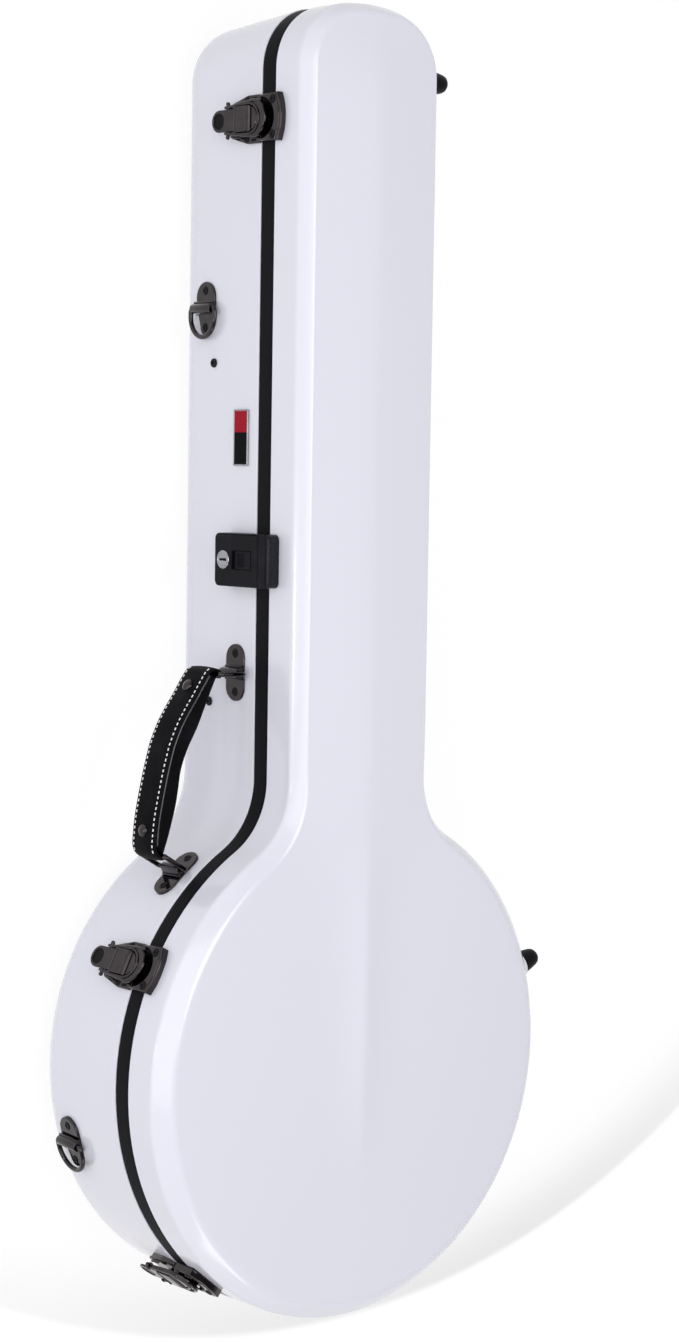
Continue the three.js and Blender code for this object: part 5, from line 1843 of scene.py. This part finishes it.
    def stitches(self, form: Form, line: Sequence[Vector]) -> None:
        """Adds a dashed row of stitches along both edges of the outer face.

        Args:
            form: The grip's form.
            line: The middle of the face in plan.
        """
        travelled, due = 0.0, 2.0
        profile = circle((0.0, 0.0), self.thread_radius, 6)
        for a, b in zip(line, line[1:]):
            length = (b - a).length
            while due < travelled + length:
                at = a.lerp(b, (due - travelled) / length)
                along = (b - a).normalized() * (self.stitch_pitch * 0.25)
                for sign in (-1, 1):
                    z = self.middle + sign * (self.width / 2 - self.stitch_inset)
                    dash = [Vector((*p, z)) for p in (at - along, at, at + along)]
                    form.sweep(dash, Axis.Z, profile)
                due += self.stitch_pitch
            travelled += length


@dataclass
class Lock:
    """Box lock: housing with slider and key cylinder, and the keeper on the lid."""

    place: Matrix
    half: float = 20.75
    face: float = 12.2
    corner: float = 4.5
    box: Point = (-36.0, 16.1)
    keeper_low: float = 16.6
    keeper_top: float = 27.8
    raised_top: float = 25.0
    slot_half: float = 7.3
    slot: Point = (-15.3, 8.3)
    slider_half: float = 7.0
    slider: Point = (-10.0, 8.0)
    ribs: int = 6
    rib_half: float = 5.5
    rib_height: float = 0.7
    first_rib: float = -8.2
    rib_pitch: float = 1.5
    cylinder_z: float = -25.2
    cylinder_radius: float = 7.3
    bore_radius: float = 7.6
    ring_radius: float = 9.6
    line_radius: float = 5.6
    slit_half: float = 0.8
    slit: Point = (-29.7, -20.7)

    def build(self) -> None:
        """Builds the lock's four pieces."""
        self.housing()
        self.keeper()
        self.release()
        self.cylinder()

    def housing(self) -> None:
        """Builds the housing with the slider's slot and the cylinder's ringed bore."""
        form = Form("lock_box", self.place).use(LOCK_PLASTIC)
        middle = (0.0, self.cylinder_z)
        slot = slab(self.slot_half, *self.slot, 1, 1, 3)
        bore, ring = (circle(middle, radius, 40) for radius in (self.bore_radius, self.ring_radius))
        block = slab(self.half, *self.box, self.corner, 0.4, 8)
        form.prism(block, Axis.X, 0.3, self.face, 1.1, holes=[(slot, 3.0), (bore, 3.0)])
        form.prism(slab(self.half - 1, -35, -1, self.corner, 1, 8), Axis.X, -3.2, 0.6, 0.2)
        low, high = self.face - 0.6, self.face + 0.25
        form.prism(ring, Axis.X, low, high, 0.2, holes=[(bore, 0.7)])
        form.build("case_base", ["lock_housing"])

    def keeper(self) -> None:
        """Builds the block on the lid with its raised face."""
        form = Form("lock_lid_block", self.place).use(KEEPER_PLASTIC)
        strip = slab(self.half, self.keeper_low, self.keeper_top, 0.4, self.corner, 8)
        form.prism(strip, Axis.X, 0.3, self.face - 0.9, 1.2)
        raised = slab(self.half, self.keeper_low, self.raised_top, 0.4, 1.2, 6)
        form.use(LOCK_PLASTIC).prism(raised, Axis.X, self.face - 2.4, self.face, 0.5)
        form.build("case_lid", ["lock_keeper"])

    def release(self) -> None:
        """Builds the ribbed slider."""
        form = Form("lock_release_slider", self.place).use(LOCK_PLASTIC)
        form.prism(slab(self.slider_half, *self.slider, 0.8, 0.8, 3), Axis.X, 9.5, 12.6, 0.4)
        for i in range(self.ribs):
            z = self.first_rib + i * self.rib_pitch
            rib = slab(self.rib_half, z, z + self.rib_height, 0.3, 0.3, 2)
            form.prism(rib, Axis.X, 12.2, 13.05, 0.3)
        form.build("lock_slider", ["lock_slider"])

    def cylinder(self) -> None:
        """Builds the cylinder's face with its rim line and key slit, whose floor is painted shade.
        """
        form = Form("lock_cylinder_face", self.place).use(BRIGHT_STEEL)
        middle = (0.0, self.cylinder_z)
        slit = slab(self.slit_half, *self.slit, 0.4, 0.4, 2)
        disc = circle(middle, self.cylinder_radius, 44)
        form.prism(disc, Axis.X, 9.5, 13.0, 0.7, holes=[(slit, 2.4)])
        line = [Vector((12.95, y, z)) for y, z in circle(middle, self.line_radius, 44)]
        form.wire(line, Axis.X, 0.28)
        # A near-black floor in the key slit is painted shade.
        form.use(PAINTED_SHADE_NICKEL).prism(inset(slit, 0.05), Axis.X, 10.0, 10.9, 0.1)
        form.build("lock_key_cylinder", ["lock_key_cylinder"])


@dataclass
class Badge:
    """Plain plate in a bright bezel on the neck's wall."""

    place: Matrix
    bezel: Point = (22.0, 9.5)
    window: Point = (21.0, 8.5)
    plate: Point = (20.7, 8.2)

    def build(self) -> None:
        """Builds the bezel and the enamelled plate."""
        frame = Form("badge_bezel", self.place).use(BRIGHT_STEEL)
        (outer, outer_rise), (half, rise) = self.bezel, self.window
        outline = slab(outer, -outer_rise, outer_rise, 1.2, 1.2, 4)
        window = slab(half, -rise, rise, 0.6, 0.6, 3)
        frame.prism(outline, Axis.X, -0.8, 2.0, 0.35, holes=[(window, 0.8)])
        frame.build("case_base", ["badge_frame"])
        panel = Form("badge_plain_plate", self.place).use(BADGE_ENAMEL)
        half, rise = self.plate
        panel.prism(slab(half, -rise, rise, 0.5, 0.5, 3), Axis.X, 1.45, 1.72, 0.12)
        panel.build("case_base", ["badge_panel"])


@dataclass
class Hinge:
    """A leaf hinge on the hinge line, with its pin along Y."""

    name: str
    place: Matrix
    half_length: float = 20.0
    knuckle_half: float = 6.5
    radius: float = 4.0
    running: float = 0.3
    stand_off: float = 6.0
    leaf_span: Point = (-4.5, -2.0)
    base_leaf: Point = (-38.3, -4.3)
    lid_leaf: Point = (4.3, 15.0)
    base_screws: float = -27.3
    lid_screws: float = 11.0
    screw_shares: tuple[float, ...] = (-0.65, 0.0, 0.65)
    screw_radius: float = 2.9
    pin_end: tuple[Point, ...] = ((0.4, -2.0), (1.9, -1.8), (2.8, -1.1), (3.0, 0.0), (1.8, 0.0))

    @classmethod
    def on_line(cls, case: CaseBody, name: str, y: float) -> "Hinge":
        """A hinge on the line that touches the body and the neck's corner.

        Args:
            case: The case.
            name: The hinge's name.
            y: Its place along the case.

        Returns:
            The hinge.
        """
        corner_x, rise = case.corner
        corner = Vector((corner_x, case.neck_end - case.end_radius + rise))
        share = (case.body_radius - case.corner_radius) / corner.length
        tilt = math.atan2(corner.y, corner.x) - math.acos(share)
        distance = case.body_radius + cls.stand_off
        along = (y - distance * math.sin(tilt)) / math.cos(tilt)
        at = (distance * math.cos(tilt) - along * math.sin(tilt),
              distance * math.sin(tilt) + along * math.cos(tilt), case.lid_foot)
        return cls(name, Matrix.Translation(at) @ Matrix.Rotation(tilt, 4, "Z"))

    def barrel(self, form: Form, low: float, high: float) -> None:
        """Adds a knuckle from low to high along the pin."""
        form.prism(circle((0.0, 0.0), self.radius, 30), Axis.Y, low, high, 0.4, 0.4)

    def build(self) -> None:
        """Builds both leaves and the pin."""
        half, knuckle = self.half_length, self.knuckle_half
        base = Form(f"hinge_{self.name}_base_plate", self.place).use(BLACK_NICKEL)
        inner = knuckle + self.running
        for low, high in ((-half, -inner), (inner, half)):
            self.barrel(base, low, high)
            neck = [(low, -5), (high, -5), (high, 0), (low, 0)]
            base.prism(neck, Axis.X, *self.leaf_span, 0.0)
        base.prism(slab(half, *self.base_leaf, 3, 0.6), Axis.X, *self.leaf_span, 0.5)
        lid = Form(f"hinge_{self.name}_lid_plate", self.place).use(BLACK_NICKEL)
        self.barrel(lid, -knuckle, knuckle)
        neck = [(-knuckle, 0), (knuckle, 0), (knuckle, 5), (-knuckle, 5)]
        lid.prism(neck, Axis.X, *self.leaf_span, 0.0)
        lid.prism(slab(half, *self.lid_leaf, 0.6, 3), Axis.X, *self.leaf_span, 0.5)
        for share in self.screw_shares:
            base.screw(self.leaf_span[1], share * half, self.base_screws, self.screw_radius)
            lid.screw(self.leaf_span[1], share * half, self.lid_screws, self.screw_radius)
        base.build("case_base", [f"hinge_{self.name}_base_leaf"])
        lid.build("case_lid", [f"hinge_{self.name}_lid_leaf"])
        pin = Form(f"hinge_{self.name}_steel_pin", self.place).use(BRIGHT_STEEL)
        end = half + self.running
        ends = [(radius, along - end) for radius, along in self.pin_end]
        profile = [*ends, *((radius, -along) for radius, along in reversed(ends))]
        pin.turned(profile, Vector(), Axis.Y, 24)
        pin.build("case_base", [f"hinge_{self.name}_pin"])


@dataclass
class Fixings:
    """Feet on the hinge side and the screws of the inner fittings."""

    case: CaseBody
    boss: float = 5.3
    foot_profile: tuple[Point, ...] = (
        (10.0, 0.0), (10.0, 1.2), (9.7, 3.0), (8.9, 8.0), (8.1, 12.5), (7.5, 15.4), (6.6, 17.6),
        (5.2, 19.1), (3.2, 19.8), (0.5, 20.0),
    )
    screw_places: tuple[tuple[str, float, float], ...] = (
        ("upper", 552.5, -59.6), ("lower", 284.4, -61.0),
    )
    screw_radius: float = 3.6
    socket_radius: float = 1.5

    def build(self) -> None:
        """Builds feet and side screws."""
        for foot in FEET:
            for owner, body, height in (("lid", "case_lid", foot.lid_height),
                                        ("base", "case_base", foot.base_height)):
                form = Form(f"rubber_foot_{owner}_{foot.name}", foot.wall(self.case))
                form.use(FOOT_RUBBER)
                form.turned(self.foot_profile, Vector((self.boss, 0.0, height)), Axis.X, 40)
                form.build(body, [f"foot_{owner}_{foot.name}"])
        for name, y, height in self.screw_places:
            place = self.case.wall_place(y) @ self.case.leaning(height)
            form = Form(f"side_fitting_screw_{name}", place).use(SCREW_BLACK)
            hexagon = circle((0.0, 0.0), self.socket_radius, 6)
            head = circle((0.0, 0.0), self.screw_radius, 30)
            form.prism(head, Axis.X, 0.2, 1.9, 0.9, holes=[(hexagon, 1.2)])
            form.build("case_base", [f"side_screw_{name}"])


# Studio


def ray_kinds(shader: Shader) -> list[Socket]:
    """Light Path's values for the rays of the camera, of reflections and of clear parts."""
    kinds = ("Is Camera Ray", "Is Glossy Ray", "Is Transmission Ray")
    return [shader.node("ShaderNodeLightPath", {}, {}, kind) for kind in kinds]


@dataclass(frozen=True)
class StudioFloor(Finish):
    """Pale floor that shows as white, with a painted shadow: a soft grey arc that fades towards the
    case.
    """

    arc_centre: Point = (0.138, 0.581)
    arc_radius: float = 0.856
    arc_edge: float = 0.006
    arc_fade: float = 0.1
    arc_depth: float = 0.2
    arc_middle: float = 0.28
    arc_reach: float = 0.62
    bounce: float = 0.8
    catch: float = 0.12
    glow: float = 0.9
    clear_near: float = 1.1
    clear_far: float = 2.6

    def paint(self, shader: Shader) -> None:
        """Builds the finish.

        Args:
            shader: The empty tree that it is built in.
        """
        place = shader.place()
        x, y = shader.part(place, "X"), shader.part(place, "Y")
        dx, dy = x - self.arc_centre[0], y - self.arc_centre[1]
        far = shader.node("ShaderNodeMath", {"operation": "SQRT"}, {0: dx * dx + dy * dy})
        inside = self.arc_radius - far
        # The grey arc is a painted shadow, shown to camera and reflection rays only.
        near_edge = shader.between(inside, -0.001, self.arc_edge)
        fade = shader.between(inside, self.arc_fade, self.arc_edge)
        along = shader.between((x - self.arc_middle).abs(), self.arc_reach, 0.05)
        painted_shadow_arc = near_edge * fade * fade * (0.3 + 0.7 * along)
        open_floor = shader.between(far, self.clear_near, self.clear_far)
        pale_tone = shader.mix(open_floor, grey(self.glow), grey(1.0))
        tone = shader.mix(painted_shadow_arc * self.arc_depth, pale_tone, grey(0.0))
        catch = shader.node("ShaderNodeBsdfDiffuse", {}, {"Color": grey(self.catch)})
        glow = shader.node("ShaderNodeEmission", {}, {"Color": tone, "Strength": 1.0})
        pale = shader.node("ShaderNodeAddShader", {}, {0: catch, 1: glow})
        bounce = shader.node("ShaderNodeBsdfDiffuse", {}, {"Color": grey(self.bounce)})
        seen, glossy, clear = ray_kinds(shader)
        shown = seen + glossy + clear
        both = shader.node("ShaderNodeMixShader", {}, {0: shown, 1: bounce, 2: pale})
        shader.node("ShaderNodeOutputMaterial", {}, {"Surface": both})


@dataclass
class Studio:
    """Pale floor, soft lamps, white surroundings and the photograph's viewpoint."""

    eye: Spot = (-1457.592, 484.793, 1769.262)
    yaw: float = 0.7295289
    pitch: float = -0.0790965
    roll: float = 0.0153815
    focal_px: float = 2776.085
    image_height: float = 1342.0
    sensor: float = 36.0
    lamps: tuple[tuple[str, Spot, Spot, float, float], ...] = (
        ("key_softbox", (-1.7, 0.6, 1.8), (0.0, 0.3, 0.1), 2.5, 30.0),
        ("side_softbox", (-2.4, 0.2, 0.2), (0.0, 0.3, 0.1), 0.16, 3.0),
        ("top_softbox", (-0.1, 0.6, 2.4), (0.0, 0.3, 0.1), 1.2, 17.5),
        ("foot_softbox", (-0.2, -1.9, 1.3), (0.0, 0.0, 0.1), 0.9, 8.0),
    )
    floor_half: float = 9.0
    floor_z: float = -0.0012
    ambient: float = 0.36
    ceiling: float = 0.85

    def build(self) -> None:
        """Builds the whole studio."""
        self.camera()
        self.floor()
        self.surroundings()
        for name, at, target, size, power in self.lamps:
            self.lamp(name, Vector(at), Vector(target), size, power)

    def camera(self) -> None:
        """Places the camera at the photograph's viewpoint."""
        forward = Vector((math.sin(self.yaw) * math.cos(self.pitch), math.sin(self.pitch),
                          -math.cos(self.yaw) * math.cos(self.pitch)))
        right = forward.cross(Vector((0, 1, 0))).normalized()
        up = right.cross(forward)
        side = right * math.cos(self.roll) + up * math.sin(self.roll)
        rise = up * math.cos(self.roll) - right * math.sin(self.roll)
        data = bpy.data.cameras.new("photo_camera")
        data.sensor_fit = "AUTO"
        data.sensor_width = self.sensor
        data.lens = self.focal_px * self.sensor / self.image_height
        data.clip_start, data.clip_end = 0.05, 60.0
        camera = bpy.data.objects.new("photo_camera", data)
        turn = Matrix((side, rise, -forward)).transposed().to_4x4()
        camera.matrix_world = Matrix.Translation(Vector(self.eye) * MM) @ turn
        bpy.context.scene.collection.objects.link(camera)
        bpy.context.scene.camera = camera

    def floor(self) -> None:
        """Builds the floor under the case."""
        mesh = bmesh.new()
        bmesh.ops.create_grid(mesh, x_segments=8, y_segments=8, size=self.floor_half)
        data = bpy.data.meshes.new("studio_floor")
        mesh.to_mesh(data)
        mesh.free()
        data.materials.append(StudioFloor("studio_floor", "stage").material())
        floor = bpy.data.objects.new("studio_floor", data)
        floor.location = (0.0, 0.0, self.floor_z)
        bpy.context.scene.collection.objects.link(floor)

    def surroundings(self) -> None:
        """Soft grey light all round, white to the camera and darker overhead in reflections."""
        world = bpy.data.worlds.new("studio_surroundings")
        world.use_nodes = True
        shader = Shader(world.node_tree)
        way = shader.node("ShaderNodeTexCoord", output="Generated")
        overhead = shader.between(shader.part(way, "Z"), 0.05, 0.7)
        seen, glossy, clear = ray_kinds(shader)
        mirrored = (glossy + clear) * (1.0 - self.ceiling * overhead)
        strength = self.ambient * (1.0 - seen - glossy - clear) + seen + mirrored
        light = shader.node("ShaderNodeBackground", {}, {"Color": grey(1.0), "Strength": strength})
        shader.node("ShaderNodeOutputWorld", {}, {"Surface": light})
        bpy.context.scene.world = world

    def lamp(self, name: str, at: Vector, target: Vector, size: float, power: float) -> None:
        """Places a square softbox.

        Args:
            name: The lamp's name.
            at: Where it stands.
            target: Where it faces.
            size: The length of its side.
            power: Its power in watts.
        """
        data = bpy.data.lights.new(name, "AREA")
        data.size = size
        data.energy = power
        lamp = bpy.data.objects.new(name, data)
        lamp.location = at
        lamp.rotation_euler = (target - at).to_track_quat("-Z", "Y").to_euler()
        bpy.context.scene.collection.objects.link(lamp)


# The whole case


@dataclass(frozen=True)
class Places:
    """Where the fittings stand: a y along the neck, or an angle on the round body in degrees."""

    hinges: tuple[tuple[str, float], ...] = (("upper", 735.0), ("lower", 14.0))
    latches: tuple[tuple[str, Optional[float], float], ...] = (
        ("upper", 738.0, 0.0), ("middle", None, 153.1), ("lower", None, -130.0),
    )
    hook_y: float = 595.5
    hook_angle: float = -163.7
    hook_height: float = -70.5
    handle_y: float = 310.0
    handle_angle: float = 128.9
    bail_angles: Point = (178.5, 149.5)
    lock_y: float = 399.0
    badge_y: float = 494.0
    badge_height: float = -20.5


def corners(bounds: tuple[Vector, Vector]) -> list[list[float]]:
    """The two corners of a box as plain lists."""
    return [list(bounds[0]), list(bounds[1])]


def main() -> None:
    """Loads the frame and builds every sub-assembly round it."""
    logging.basicConfig(level=logging.INFO, format="%(name)s %(message)s")
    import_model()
    bpy.context.scene.view_settings.view_transform = "Standard"
    Studio().build()
    case, places = CaseBody(), Places()
    hinges = [Hinge.on_line(case, name, y) for name, y in places.hinges]
    shells = Shells(case)
    shells.base(hinges)
    shells.lid(hinges)
    shells.seal()
    lining = Lining(case)
    lining.base()
    lining.lid()
    lining.fittings()
    for name, y, angle in places.latches:
        DrawLatch(name, case.wall_place(y, angle=angle)).build()
    for name, wall, flip in (
        ("left_upper", case.wall_place(places.hook_y), True),
        ("left_lower", case.wall_place(angle=places.hook_angle), True),
        ("right_upper", case.wall_place(places.hook_y, 1), False),
        ("right_lower", case.wall_place(angle=180 - places.hook_angle), False),
    ):
        StrapHook(name, wall @ case.leaning(places.hook_height, flip)).build()
    upper = HandleEnd("upper", case.wall_place(places.handle_y), places.bail_angles[0])
    lower = HandleEnd("lower", case.wall_place(angle=places.handle_angle), places.bail_angles[1])
    Handle(case, (upper, lower)).build()
    Lock(case.wall_place(places.lock_y)).build()
    Badge(case.wall_place(places.badge_y) @ case.leaning(places.badge_height)).build()
    for hinge in hinges:
        hinge.build()
    Fixings(case).build()


if __name__ == "__main__":
    main()
